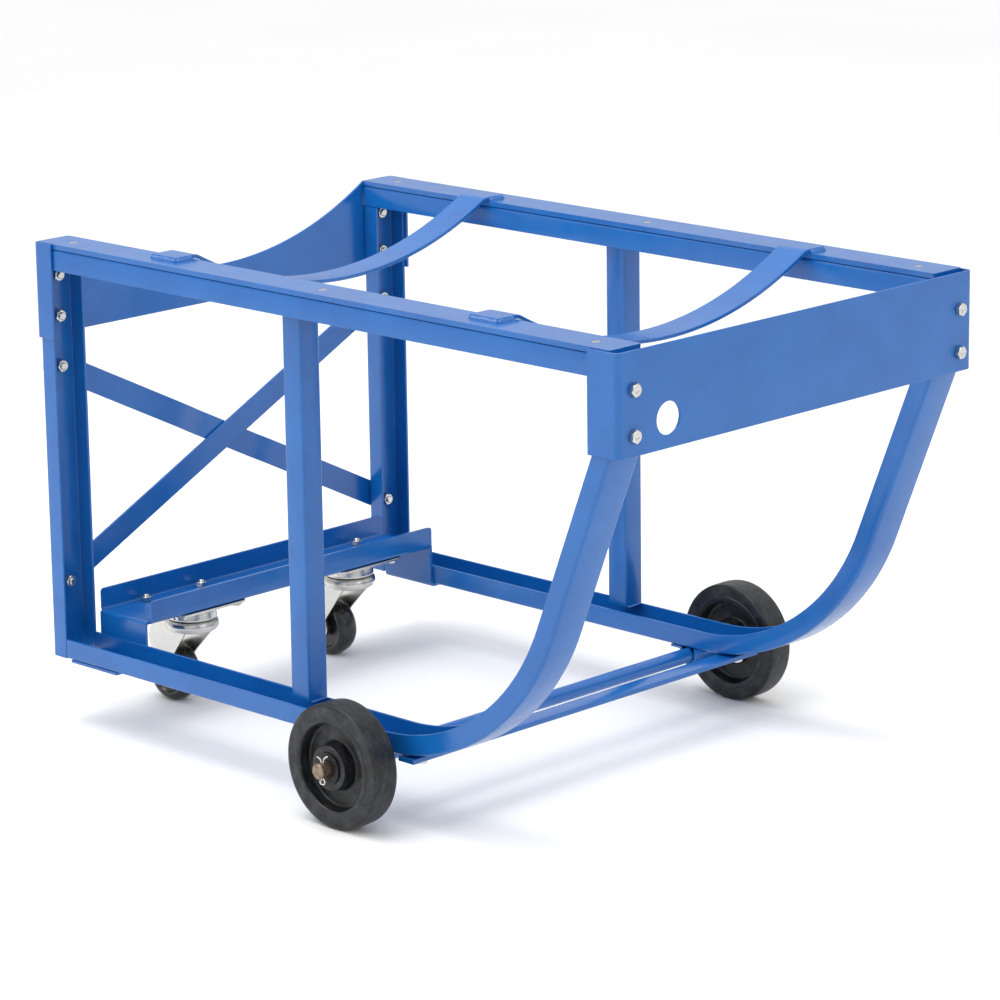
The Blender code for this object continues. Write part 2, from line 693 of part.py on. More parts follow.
# ---- large wheels
def large_wheel(tag, side):
    centre = (AXLE_X, side * WHEEL_Y, WHEEL_R)
    half = WHEEL_W / 2
    hub = WHEEL_HUB_L / 2
    web = WHEEL_WEB_T / 2
    bore = BUSH_R + GAP
    one = [
        (bore, hub), (WHEEL_HUB_R - 0.002, hub), (WHEEL_HUB_R, hub - 0.002),
        (WHEEL_HUB_R + 0.003, web), (WHEEL_RIM_R - 0.005, web),
        (WHEEL_RIM_R, half - 0.001), (WHEEL_RIM_R + 0.003, half),
        (WHEEL_R - 0.0055, half - 0.0005), (WHEEL_R - 0.0020, half - 0.0020),
        (WHEEL_R, half - 0.0060),
    ]
    profile = one + [(r, -a) for r, a in reversed(one)]
    bm = turned(profile, centre, (0, 1, 0), BIG_SEGMENTS, flats=True)
    place(bm, f"wheel_{tag}", RUBBER, centre, smooth=40)

    long = hub + 0.0004
    profile = [(AXLE_R + GAP, long), (BUSH_R, long), (BUSH_R, -long), (AXLE_R + GAP, -long)]
    bm = turned(profile, centre, (0, 1, 0), 24)
    place(bm, f"wheel_bush_{tag}", ZINC, centre, smooth=35)

    for name, inner_face in (
        ("washer_outer", long + GAP),
        ("washer_inner", -long - GAP - WASHER_T),
    ):
        a = inner_face
        rim = WASHER_R
        profile = [(AXLE_R + GAP, a + WASHER_T), (rim, a + WASHER_T), (rim, a)]
        profile += [(AXLE_R + GAP, a)]
        bm = turned(profile, centre, (0, side, 0), 24)
        place(bm, f"{name}_{tag}", ZINC, centre, smooth=35)

    start = HALF_W + 0.0015 - WHEEL_Y
    end = -long - 2 * GAP - WASHER_T
    profile = [(AXLE_R + GAP, end), (SLEEVE_R, end), (SLEEVE_R, start), (AXLE_R + GAP, start)]
    bm = turned(profile, centre, (0, side, 0), 24)
    place(bm, f"axle_sleeve_{tag}", BLUE, centre, smooth=35)

    y = side * pin_y
    line = [
        (0.0045, -0.0180), (0.0012, -0.0140), (0.0, -0.0115), (0.0, 0.0120),
        (0.0012, 0.0150), (0.0040, 0.0185),
    ]
    curve = bpy.data.curves.new(f"cotter_pin_{tag}", "CURVE")
    curve.dimensions = "3D"
    curve.bevel_depth = PIN_R
    curve.bevel_resolution = 1
    curve.use_fill_caps = True
    spline = curve.splines.new("POLY")
    spline.points.add(len(line) - 1)
    for point, (out, up) in zip(spline.points, line):
        point.co = (0, side * out * 0.7, up, 1)
    pin = bpy.data.objects.new(f"cotter_pin_{tag}", curve)
    bpy.context.scene.collection.objects.link(pin)
    pin.location = (AXLE_X - MID_X, y, WHEEL_R)
    curve.materials.append(ZINC)


for tag, side in SIDES:
    large_wheel(tag, side)


# ---- casters
def caster(tag, side):
    cx = CASTER_X
    cy = side * CASTER_Y
    top = TRAY_FLOOR - GAP
    wide, long, thick = CASTER_PLATE
    plate_low = top - thick
    bore = KING_R + GAP

    outline = rounded_box(wide, long, 0.010, 3)
    bm = prism(outline, (cx, cy, plate_low), (1, 0, 0), (0, 1, 0), (0, 0, thick))
    plate = place(bm, f"caster_plate_{tag}", ZINC, (cx, cy, top), smooth=35)
    cup = [
        (CASTER_CUP_R - 0.004, plate_low + 0.001), (CASTER_CUP_R - 0.001, plate_low - 0.004),
        (CASTER_CUP_R, plate_low - 0.009), (CASTER_CUP_R, CASTER_CUP_Z),
    ]
    bm = turned(cup, (cx, cy, 0), (0, 0, 1), 28, closed=False)
    cut(plate, cutter(bm, f"caster_cup_{tag}"), "UNION")
    king_rod = [((cx, cy, CASTER_CUP_Z - 0.01), (cx, cy, top + 0.01))]
    cut(plate, cutter(rods(king_rod, bore, 24), f"king_hole_{tag}"))
    for i, (sx, sy) in enumerate(((1, 1), (-1, 1), (-1, -1), (1, -1))):
        x = cx + sx * CASTER_HOLES[0]
        y = cy + sy * CASTER_HOLES[1]
        head = (x, y, plate_low + 0.0005)
        grip = TRAY_FLOOR + TRAY_T + GAP - head[2]
        bm = bolt(head, (0, 0, 1), SMALL_D, SMALL_AF, SMALL_HEAD, grip, SMALL_NUT)
        cut(plate, cutter(bm, f"caster_bolt_{tag}{i + 1}"), "UNION")
        plate_rods.append(((x, y, TRAY_FLOOR - 0.004), (x, y, TRAY_FLOOR + 0.006)))

    # swivel fork: a dished crown with two side legs reaching back to the wheel
    low, high = CROWN_Z
    crown = [
        (bore, high), (CROWN_R - 0.002, high), (CROWN_R, high - 0.002), (CROWN_R, low + 0.003),
        (CROWN_R - 0.003, low), (0.013, low), (0.013, low + 0.004), (bore, low + 0.004),
    ]
    bm = turned(crown, (cx, cy, 0), (0, 0, 1), 28)
    fork = place(bm, f"caster_fork_{tag}", ZINC, (cx, cy, 0), smooth=35)
    ax = cx - CASTER_TRAIL
    az = CASTER_R
    eye = FORK_EYE_R
    leg = [(cx + 0.0200, high - 0.004), (cx - 0.0480, high - 0.004), (ax - eye - 0.009, az + 0.045)]
    leg += arc((ax, az), eye, math.pi, 2 * math.pi + 0.15, 7)
    leg += [
        (cx - 0.0255, az + 0.0170), (cx - 0.0235, az + 0.0300), (cx - 0.0160, low - 0.0200),
        (cx - 0.0050, low - 0.0080), (cx + 0.0150, low + 0.0020),
    ]
    for s in (-1, 1):
        y = cy + s * (FORK_IN + FORK_T / 2) - FORK_T / 2
        bm = prism(leg, (0, y, 0), (1, 0, 0), (0, 0, 1), (0, FORK_T, 0))
        cut(fork, cutter(bm, f"fork_leg_{tag}{s + 2}"), "UNION")
    eye_rod = [((ax, cy - 0.03, az), (ax, cy + 0.03, az))]
    cut(fork, cutter(rods(eye_rod, SMALL_D / 2 + GAP), f"fork_eye_{tag}"))

    king = [
        (KING_R - 0.001, top), (KING_R, top - 0.001), (KING_R, low + 0.004 - GAP),
        (0.0110, low + 0.004 - GAP), (0.0110, low + 0.0005), (0.0070, low - 0.0025),
    ]
    bm = turned(king, (cx, cy, 0), (0, 0, 1), 24, closed=False)
    place(bm, f"caster_kingpin_{tag}", STEEL, (cx, cy, 0), smooth=35)

    centre = (ax, cy, az)
    half = CASTER_W / 2
    hub = FORK_IN - 0.0010
    bore = SMALL_D / 2 + GAP
    one = [
        (bore, hub), (0.0095, hub), (0.0105, half - 0.004), (0.0250, half - 0.004),
        (0.0280, half), (CASTER_R - 0.004, half - 0.002),
        (CASTER_R - 0.0008, half - 0.006), (CASTER_R, half - 0.009),
    ]
    profile = one + [(r, -a) for r, a in reversed(one)]
    bm = turned(profile, centre, (0, 1, 0), CASTER_SEGMENTS, flats=True)
    place(bm, f"caster_wheel_{tag}", RUBBER, centre, smooth=40)

    out = FORK_IN + FORK_T + GAP
    head = (ax, cy - out, az)
    bm = bolt(head, (0, 1, 0), SMALL_D, SMALL_AF, SMALL_HEAD, 2 * out, SMALL_NUT)
    place(bm, f"caster_axle_{tag}", ZINC, centre)


plate_rods = []
for tag, side in SIDES:
    caster(tag, side)
cut(tray, cutter(rods(plate_rods, SMALL_D / 2 + GAP, 12), "plate_holes"))
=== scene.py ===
"""Looks of a rocking drum cradle cart: powder-coated channel frame with saddle straps,
bolted end plates, zinc-plated fasteners and casters, and black moulded wheels.

Every length is in metres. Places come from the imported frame.
"""

import json
import math

import bmesh
import bpy
from mathutils import Matrix, Vector

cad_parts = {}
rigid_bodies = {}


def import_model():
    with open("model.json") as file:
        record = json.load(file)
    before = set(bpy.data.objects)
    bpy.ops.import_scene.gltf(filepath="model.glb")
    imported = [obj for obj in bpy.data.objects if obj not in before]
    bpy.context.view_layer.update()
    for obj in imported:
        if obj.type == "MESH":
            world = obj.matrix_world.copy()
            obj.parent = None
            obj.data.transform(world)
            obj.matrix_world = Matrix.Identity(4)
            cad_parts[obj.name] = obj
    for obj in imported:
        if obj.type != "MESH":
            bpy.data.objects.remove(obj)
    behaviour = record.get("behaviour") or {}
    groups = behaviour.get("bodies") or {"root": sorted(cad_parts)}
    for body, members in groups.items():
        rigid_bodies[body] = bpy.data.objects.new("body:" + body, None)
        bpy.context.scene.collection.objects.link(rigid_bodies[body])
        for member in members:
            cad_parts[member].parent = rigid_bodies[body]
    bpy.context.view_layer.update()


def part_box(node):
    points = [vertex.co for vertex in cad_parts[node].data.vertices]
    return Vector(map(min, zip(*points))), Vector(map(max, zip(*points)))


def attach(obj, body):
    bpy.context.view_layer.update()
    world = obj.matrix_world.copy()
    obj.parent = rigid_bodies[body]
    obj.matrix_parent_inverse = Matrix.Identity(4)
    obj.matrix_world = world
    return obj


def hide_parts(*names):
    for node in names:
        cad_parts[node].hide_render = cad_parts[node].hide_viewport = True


for old in list(bpy.data.objects):
    bpy.data.objects.remove(old, do_unlink=True)

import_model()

MM = 0.001
INCH = 0.0254
SIDES = (("r", -1), ("l", 1))
X, Y, Z = Vector((1, 0, 0)), Vector((0, 1, 0)), Vector((0, 0, 1))

# stock sections and bends
CHANNEL_WALL = 3.2 * MM
CHANNEL_CORNER = 4.0 * MM
TUBE_WALL = 3.0 * MM
TUBE_CORNER = 3.6 * MM
LEG_BEND_R = 300 * MM
LEG_LEAN = math.radians(68)
LEG_TOP_R = 100 * MM
LEG_TOP_RUN = 38 * MM
STRAP_T = 4.76 * MM
STRAP_KNEE_R = 20 * MM
STRAP_KNEE_IN = 1.2 * MM
PLATE_T = 3.2 * MM
PLATE_BEND = 7.2 * MM
HAND_HOLE_R = 0.75 * INCH
HAND_HOLE_IN = 27.9 * MM  # from the inner edge of the cap strip
HAND_HOLE_DOWN = 85.2 * MM  # from the top of the front plate
REAR_ARC_DEPTH = 74.0 * MM  # how far the drum cutout dips into the rear plate
BRACE_W = 1.25 * INCH
BRACE_T = 3.2 * MM
BRACE_END = 19 * MM  # from a brace's bolt to its end
JOGGLE_FLAT = 55 * MM  # half length of the raised middle of the upper brace
JOGGLE_RUN = 30 * MM  # length of each ramp down from it
TRAY_T = 3.5 * MM
TRAY_BEND = 6.0 * MM
TRAY_DEPTH = 30.0 * MM  # from the tray's rim down to the underside of its floor
FIT_GAP = 0.3 * MM  # clearance between pieces that meet
AXLE_R = 0.375 * INCH
CASTER_HOLES = (33.3 * MM, 47 * MM)  # half spacing of each caster's four bolts
WELD_W = 11 * MM  # weld beads round the strap ends
PIN_INSET = 8.5 * MM  # from the axle's end to its cotter pin
SCREW_PLACES = (40 * MM, 489 * MM, 925 * MM)  # along each cap strip, from its rear end

# fasteners: across flats, head height, nut height, shank diameter
BIG_BOLT = (0.5625 * INCH, 6.2 * MM, 8.3 * MM, 0.375 * INCH)
SMALL_BOLT = (0.5 * INCH, 5.2 * MM, 6.8 * MM, 0.3125 * INCH)
THREAD_SPARE = 2.8 * MM
THREAD_PITCH = 1.4 * MM

EDGE = 0.9 * MM  # how far painted edges are eased


# ---- material nodes
def linear(code):
    """Colour of an sRGB hex code, in linear light."""
    parts = [int(code[i : i + 2], 16) / 255 for i in (1, 3, 5)]
    return (*[c / 12.92 if c <= 0.04045 else ((c + 0.055) / 1.055) ** 2.4 for c in parts], 1.0)


def add(mat, kind, settings=None, links=None):
    """Adds a node, sets its properties and sockets by name, and links its inputs."""
    made = mat.node_tree.nodes.new("ShaderNode" + kind)
    for key, value in (settings or {}).items():
        if isinstance(key, str) and hasattr(made, key):
            setattr(made, key, value)
        else:
            made.inputs[key].default_value = value
    for key, source in (links or {}).items():
        mat.node_tree.links.new(source, made.inputs[key])
    return made


def blank(name):
    mat = bpy.data.materials.new(name)
    mat.use_nodes = True
    mat.node_tree.nodes.clear()
    place = add(mat, "TexCoord").outputs["Object"]
    return mat, place


def surface(mat, settings, links):
    shader = add(mat, "BsdfPrincipled", settings, links)
    add(mat, "OutputMaterial", links={"Surface": shader.outputs["BSDF"]})
    mat.diffuse_color = settings.get("Base Color", (0.5, 0.5, 0.5, 1.0))
    return mat


def clouds(mat, place, size, detail=3.0, rough=0.55):
    """Soft random field whose blotches are about this size in metres."""
    settings = {"Scale": 1 / size, "Detail": detail, "Roughness": rough}
    return add(mat, "TexNoise", settings, {"Vector": place}).outputs["Fac"]


def spread(mat, field, low, high, narrow=0.3):
    """Field around one half, stretched to run from low to high."""
    settings = {1: 0.5 - narrow / 2, 2: 0.5 + narrow / 2, 3: low, 4: high, "clamp": True}
    return add(mat, "MapRange", settings, {0: field}).outputs["Result"]


def blend(mat, field, first, second):
    settings = {"data_type": "RGBA", 6: linear(first), 7: linear(second)}
    return add(mat, "Mix", settings, {0: field}).outputs[2]


def relief(mat, height, depth, strength=1.0, under=None):
    links = {"Height": height}
    if under is not None:
        links["Normal"] = under
    settings = {"Distance": depth, "Strength": strength}
    return add(mat, "Bump", settings, links).outputs["Normal"]


def powder_coat():
    """Polyester powder coat baked on steel: one thick glossy film over the whole weldment.

    The film flows into a soft orange peel and varies a little in depth of colour.
    """
    mat, place = blank("powder_coat_blue")
    depth = spread(mat, clouds(mat, place, 70 * MM), 0.0, 1.0)
    colour = blend(mat, depth, "#0C5AA4", "#1061AC")
    # the real peel is 1 to 2 mm across, drawn at 8 mm so that it shows
    peel = relief(mat, clouds(mat, place, 8 * MM, 0.5), 0.03 * MM)
    peel = relief(mat, clouds(mat, place, 30 * MM, 1.0), 0.16 * MM, under=peel)
    gloss = spread(mat, clouds(mat, place, 24 * MM), 0.17, 0.25)
    links = {"Base Color": colour, "Roughness": gloss, "Normal": peel}
    return surface(mat, {"IOR": 1.5, "Specular IOR Level": 0.6}, links)


def bright_zinc():
    """Electroplated zinc with a clear chromate: bright, faintly blue and straw in patches."""
    mat, place = blank("zinc_clear_chromate")
    tint = spread(mat, clouds(mat, place, 14 * MM, 3.0), 0.0, 1.0, 0.5)
    colour = blend(mat, tint, "#C6C7C8", "#D3D0C7")
    # rolled sheet grain, really about 0.2 mm, drawn at 0.9 mm
    grain = relief(mat, clouds(mat, place, 0.9 * MM, 2.0), 0.008 * MM)
    grain = relief(mat, clouds(mat, place, 9 * MM, 2.0), 0.016 * MM, under=grain)
    gloss = spread(mat, clouds(mat, place, 6 * MM), 0.18, 0.27, 0.5)
    links = {"Base Color": colour, "Roughness": gloss, "Normal": grain}
    return surface(mat, {"Metallic": 1.0}, links)


def drawn_steel():
    """Cold-drawn axle bar, bare and oiled: brownish tarnish, with die lines along the bar."""
    mat, place = blank("drawn_steel_tarnished")
    along = add(mat, "Mapping", {"Scale": (1.0, 0.03, 1.0)}, {"Vector": place}).outputs["Vector"]
    tint = spread(mat, clouds(mat, place, 7 * MM, 4.0), 0.0, 1.0)
    colour = blend(mat, tint, "#A3917F", "#7C6A5B")
    # die lines are finer than 0.1 mm, drawn at 0.7 mm
    lines = relief(mat, clouds(mat, along, 0.7 * MM, 2.0), 0.02 * MM)
    gloss = spread(mat, clouds(mat, place, 4 * MM), 0.34, 0.52)
    links = {"Base Color": colour, "Roughness": gloss, "Normal": lines}
    return surface(mat, {"Metallic": 1.0}, links)


def ringed(mat, place, pitch):
    """Fine turned rings about an object's own Y axis, this far apart."""
    flat = add(mat, "VectorMath", {"operation": "MULTIPLY", 1: (1, 0, 1)}, {0: place})
    far = add(mat, "VectorMath", {"operation": "LENGTH"}, {0: flat.outputs["Vector"]})
    turns = add(mat, "Math", {"operation": "MULTIPLY", 1: math.tau / pitch},
                {0: far.outputs["Value"]})
    return add(mat, "Math", {"operation": "SINE"}, {0: turns.outputs["Value"]}).outputs["Value"]


def moulded_rubber():
    """Solid rubber wheel pressed in a turned mould: near black, satin, with faint mould rings
    and a dusty grey bloom in patches."""
    mat, place = blank("moulded_rubber_black")
    smear = add(mat, "Mapping", {"Scale": (1.0, 4.0, 1.0)}, {"Vector": place}).outputs["Vector"]
    bloom = spread(mat, clouds(mat, smear, 18 * MM, 5.0, 0.7), -0.6, 1.0, 0.3)
    colour = blend(mat, bloom, "#0A0B0E", "#2B2E34")
    # mould turning marks, really about 0.4 mm apart, drawn at 2.2 mm
    rings = relief(mat, ringed(mat, place, 2.2 * MM), 0.018 * MM)
    pores = relief(mat, clouds(mat, place, 1.3 * MM, 2.0), 0.05 * MM, under=rings)
    gloss = spread(mat, clouds(mat, smear, 12 * MM, 4.0), 0.32, 0.50)
    links = {"Base Color": colour, "Roughness": gloss, "Normal": pores}
    return surface(mat, {"IOR": 1.52, "Specular IOR Level": 0.4}, links)


def caster_rubber():
    """Hard phenolic and rubber caster wheel, polished in its mould: black and glossy."""
    mat, place = blank("hard_rubber_polished")
    tone = spread(mat, clouds(mat, place, 14 * MM, 3.0), 0.0, 1.0)
    colour = blend(mat, tone, "#0D0D0F", "#18191B")
    skin = relief(mat, clouds(mat, place, 8 * MM, 1.0), 0.015 * MM)
    gloss = spread(mat, clouds(mat, place, 9 * MM), 0.25, 0.31)
    links = {"Base Color": colour, "Roughness": gloss, "Normal": skin}
    return surface(mat, {"IOR": 1.55}, links)


def black_oxide():
    """Oil-blackened steel washers: dark grey, slightly bronze, satin."""
    mat, place = blank("black_oxide_steel")
    tone = spread(mat, clouds(mat, place, 5 * MM, 3.0), 0.0, 1.0)
    colour = blend(mat, tone, "#2B2A2A", "#3A3735")
    grain = relief(mat, clouds(mat, place, 0.8 * MM, 2.0), 0.02 * MM)
    gloss = spread(mat, clouds(mat, place, 4 * MM), 0.36, 0.5)
    links = {"Base Color": colour, "Roughness": gloss, "Normal": grain}
    return surface(mat, {"Metallic": 0.8}, links)


def studio_floor():
    """Matt white painted floor."""
    mat, place = blank("studio_floor_white")
    tone = spread(mat, clouds(mat, place, 0.9), 0.0, 1.0)
    colour = blend(mat, tone, "#F1F1F1", "#F4F4F4")
    return surface(mat, {"Roughness": 0.9, "Specular IOR Level": 0.1}, {"Base Color": colour})


BLUE = powder_coat()
ZINC = bright_zinc()
STEEL = drawn_steel()
RUBBER = moulded_rubber()
CASTER = caster_rubber()
OXIDE = black_oxide()


# ---- shapes
def soft_line(corners, closed=True, steps=5):
    """Corner points (a, b, radius) as a line whose corners are rounded."""
    points = []
    last = len(corners) - 1
    for i, (a, b, radius) in enumerate(corners):
        here = Vector((a, b))
        if radius == 0 or (not closed and i in (0, last)):
            points.append(here)
            continue
        back = Vector(corners[i - 1][:2]) - here
        ahead = Vector(corners[(i + 1) % len(corners)][:2]) - here
        half = back.angle(ahead) / 2
        reach = min(radius / math.tan(half), 0.49 * back.length, 0.49 * ahead.length)
        back.normalize()
        ahead.normalize()
        centre = here + (back + ahead).normalized() * (reach / math.cos(half))
        arm = here + back * reach - centre
        way = 1 if arm.cross(here + ahead * reach - centre) > 0 else -1
        for k in range(steps + 1):
            turn = Matrix.Rotation(way * (math.pi - 2 * half) * k / steps, 2)
            points.append(centre + turn @ arm)
    return points


def laid(points, origin, u, v):
    """Flat points laid out along two directions in space."""
    return [Vector(origin) + u * p[0] + v * p[1] for p in points]


def skin(loops, closed=False):
    """Surface over loops of equal count, capped at both ends unless the row closes."""
    bm = bmesh.new()
    rows = [[bm.verts.new(p) for p in loop] for loop in loops]
    count = len(rows[0])
    pairs = list(zip(rows, rows[1:]))
    if closed:
        pairs.append((rows[-1], rows[0]))
    for one, two in pairs:
        for i in range(count):
            j = (i + 1) % count
            bm.faces.new((one[i], one[j], two[j], two[i]))
    if not closed:
        bm.faces.new(rows[0])
        bm.faces.new(rows[-1])
    bmesh.ops.recalc_face_normals(bm, faces=bm.faces)
    return bm


def prism(points, origin, u, v, along):
    start = laid(points, origin, u, v)
    return skin([start, [p + along for p in start]])


def ring_at(centre, axis, radius, count):
    side = Z if abs(axis.z) < 0.9 else X
    first = side.cross(axis).normalized()
    second = axis.cross(first)
    return [
        centre + first * (radius * math.cos(math.tau * i / count))
        + second * (radius * math.sin(math.tau * i / count))
        for i in range(count)
    ]


def turned(profile, centre, axis, count=72, closed=True):
    """Revolves (radius, along) points about an axis."""
    loops = [ring_at(centre + axis * p[1], axis, p[0], count) for p in profile]
    return skin(loops, closed)


def carved(shape, tool, operation="DIFFERENCE"):
    """One mesh cut by, or joined to, another."""
    pair = []
    for bm in (shape, tool):
        bmesh.ops.recalc_face_normals(bm, faces=bm.faces)
        mesh = bpy.data.meshes.new("shape")
        bm.to_mesh(mesh)
        bm.free()
        part = bpy.data.objects.new("shape", mesh)
        bpy.context.scene.collection.objects.link(part)
        pair.append(part)
    step = pair[0].modifiers.new("cut", "BOOLEAN")
    step.operation = operation
    step.solver = "EXACT"
    step.object = pair[1]
    result = bmesh.new()
    result.from_object(pair[0], bpy.context.evaluated_depsgraph_get())
    for part in pair:
        mesh = part.data
        bpy.data.objects.remove(part)
        bpy.data.meshes.remove(mesh)
    return result


def merged(shapes):
    """Several closed shapes in one mesh."""
    whole = bmesh.new()
    for bm in shapes:
        mesh = bpy.data.meshes.new("shape")
        bm.to_mesh(mesh)
        bm.free()
        whole.from_mesh(mesh)
        bpy.data.meshes.remove(mesh)
    return whole


def piece(name, bm, finish, body="frame", stands_for=(), edge=EDGE, origin=None,
          sharp=38):
    """Finished object that rides on a body and stands for the CAD nodes named."""
    at = Vector(origin or (0, 0, 0))
    bmesh.ops.translate(bm, verts=bm.verts, vec=-at)
    mesh = bpy.data.meshes.new(name)
    bm.to_mesh(mesh)
    bm.free()
    mesh.materials.append(finish)
    mesh.shade_smooth()
    made = bpy.data.objects.new(name, mesh)
    bpy.context.scene.collection.objects.link(made)
    made.location = at
    if edge:
        easing = made.modifiers.new("eased edges", "BEVEL")
        easing.width = edge
        easing.segments = 2
        easing.limit_method = "ANGLE"
        easing.angle_limit = math.radians(sharp)
        easing.harden_normals = True
    else:
        mesh.set_sharp_from_angle(angle=math.radians(sharp))
    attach(made, body)
    if stands_for:
        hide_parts(*stands_for)
    return made


def channel(width, depth, steps=5):
    """C section: web along b = 0, flanges towards +b."""
    h = width / 2
    t = CHANNEL_WALL
    inner = 0.9 * MM
    return soft_line(
        [
            (-h, depth, 0), (-h, 0, CHANNEL_CORNER), (h, 0, CHANNEL_CORNER), (h, depth, 0),
            (h - t, depth, 0), (h - t, t, inner), (-h + t, t, inner), (-h + t, depth, 0),
        ],
        steps=steps,
    )


def weld_bead(name, path, out, width, finish, height=0.55):
    """Fillet weld along a path: rippled, domed and uneven, sunk by half into the joint."""
    ripple = 2.4 * MM
    step = 0.7 * MM
    loops = []
    travelled = 0.0
    legs = list(zip(path, path[1:]))
    total = sum((Vector(b) - Vector(a)).length for a, b in legs)
    for a, b in legs:
        start, end = Vector(a), Vector(b)
        run = end - start
        count = max(2, round(run.length / step))
        side = run.normalized().cross(out).normalized()
        for i in range(count + (b is path[-1])):
            s = travelled + run.length * i / count
            taper = min(1.0, (min(s, total - s) + 1.2 * MM) / (4 * MM))
            wave = 0.86 + 0.10 * math.cos(math.tau * s / ripple) + 0.06 * math.sin(s / (3.1 * MM))
            r = width / 2 * wave * math.sqrt(taper)
            centre = start + run * (i / count) + side * (0.3 * MM * math.sin(s / (4.7 * MM)))
            loops.append([
                centre + side * (r * math.cos(math.tau * k / 12))
                + out * (r * height * math.sin(math.tau * k / 12))
                for k in range(12)
            ])
        travelled += run.length
    return piece(name, skin(loops), finish, edge=0, sharp=75)


# ---- side frames
def side_frame(tag):
    low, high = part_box(f"top_rail_{tag}")
    mid = (low.y + high.y) / 2
    outline = channel(high.y - low.y, high.z - low.z)
    bar = prism(outline, (low.x, mid, high.z), Y, -Z, X * (high.x - low.x))
    piece(f"top_rail_{tag}_look", bar, BLUE, stands_for=[f"top_rail_{tag}"])

    low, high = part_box(f"rear_post_{tag}")
    outline = channel(high.y - low.y, high.x - low.x)
    post = prism(outline, (low.x, mid, low.z), Y, X, Z * (high.z - low.z))
    piece(f"rear_post_{tag}_look", post, BLUE, stands_for=[f"rear_post_{tag}"])
    curved_rail(tag, mid)
    middle_post(tag)
    cap_strip(tag, mid)


def curved_rail(tag, mid):
    """Bottom rail that sweeps up into the front leg, web on the outside of the bend."""
    low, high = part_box(f"bottom_rail_{tag}")
    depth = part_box(f"rear_post_{tag}")[1].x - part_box(f"rear_post_{tag}")[0].x
    outline = channel(high.y - low.y, depth)
    sin, cos = math.sin(LEG_LEAN), math.cos(LEG_LEAN)
    rise = high.z - low.z - LEG_BEND_R * (1 - cos) - LEG_TOP_R * cos - LEG_TOP_RUN
    run = rise / sin
    bend_x = high.x - LEG_BEND_R * sin - run * cos - LEG_TOP_R * (1 - sin)

    foot = laid(outline, (low.x, mid, low.z), Y, Z)
    loops = [foot, [p + X * (bend_x - low.x) for p in foot]]
    foot = loops[-1]
    centre = Vector((bend_x, mid, low.z + LEG_BEND_R))
    steps = 40
    for i in range(steps):
        turn = Matrix.Rotation(-LEG_LEAN * (i + 1) / steps, 3, "Y")
        loops.append([centre + turn @ (p - centre) for p in foot])
    loops.append([p + Vector((run * cos, 0, run * sin)) for p in loops[-1]])
    knee = loops[-1]
    centre = Vector((high.x - LEG_TOP_R, mid, high.z - LEG_TOP_RUN))
    steps = 12
    for i in range(steps):
        turn = Matrix.Rotation((LEG_LEAN - math.pi / 2) * (i + 1) / steps, 3, "Y")
        loops.append([centre + turn @ (p - centre) for p in knee])
    loops.append([p + Z * LEG_TOP_RUN for p in loops[-1]])
    piece(f"curved_rail_{tag}", skin(loops), BLUE, stands_for=[f"bottom_rail_{tag}"])


def middle_post(tag):
    low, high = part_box(f"middle_post_{tag}")
    half = (high.x - low.x) / 2
    centre = (low + high) / 2
    walls = []
    for size, corner in ((half, TUBE_CORNER), (half - TUBE_WALL, 1.2 * MM)):
        square = [(-size, -size, corner), (size, -size, corner), (size, size, corner),
                  (-size, size, corner)]
        walls.append(soft_line(square))
    ends = (low.z, high.z)
    loops = [laid(walls[0], (centre.x, centre.y, z), X, Y) for z in ends]
    loops += [laid(walls[1], (centre.x, centre.y, z), X, Y) for z in reversed(ends)]
    piece(f"square_post_{tag}", skin(loops, closed=True), BLUE,
          stands_for=[f"middle_post_{tag}"])

    # welded all round its foot and its head, where the faces are free
    for where, z, out in (("foot", low.z, Z), ("head", high.z, -Z)):
        for way in (-1, 1):
            x = centre.x + way * half
            path = [(x, centre.y - half + 3 * MM, z), (x, centre.y + half - 3 * MM, z)]
            lean = (out + X * way).normalized()
            weld_bead(f"post_{where}_weld_{tag}{way + 2}", path, lean, 4.2 * MM, BLUE)


def cap_strip(tag, mid):
    low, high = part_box(f"cap_strip_{tag}")
    h = (high.y - low.y) / 2
    long = high.x - low.x
    corner = 3.0 * MM
    outline = soft_line([(0, -h, corner), (long, -h, corner), (long, h, corner), (0, h, corner)])
    strip = prism(outline, (low.x, mid, low.z), X, Y, Z * (high.z - low.z))
    screws = [low.x + along for along in SCREW_PLACES]
    sink = 1.2 * MM
    for x in screws:
        well = turned([(6.3 * MM, 1.0 * MM), (6.3 * MM, 0.0), (5.0 * MM, -sink)],
                      Vector((x, mid, high.z)), Z, 40, closed=False)
        strip = carved(strip, well)
    piece(f"cap_strip_{tag}_look", strip, BLUE, stands_for=[f"cap_strip_{tag}"],
          edge=0.5 * MM)
    for i, x in enumerate(screws):
        centre = Vector((x, mid, high.z - 0.1 * MM))
        head = turned([(0.01 * MM, 0.25 * MM), (4.4 * MM, 0.12 * MM), (5.7 * MM, -0.12 * MM),
                       (5.0 * MM, -sink + 0.2 * MM)], centre, Z, 40, closed=False)
        slot = prism([(-5.6 * MM, -0.55 * MM), (5.6 * MM, -0.55 * MM), (5.6 * MM, 0.55 * MM),
                      (-5.6 * MM, 0.55 * MM)], centre - Z * 0.5 * MM,
                     Vector((0.8, 0.6, 0)), Vector((-0.6, 0.8, 0)), Z * 1.5 * MM)
        piece(f"strip_screw_{tag}{i + 1}", carved(head, slot), ZINC, edge=0)


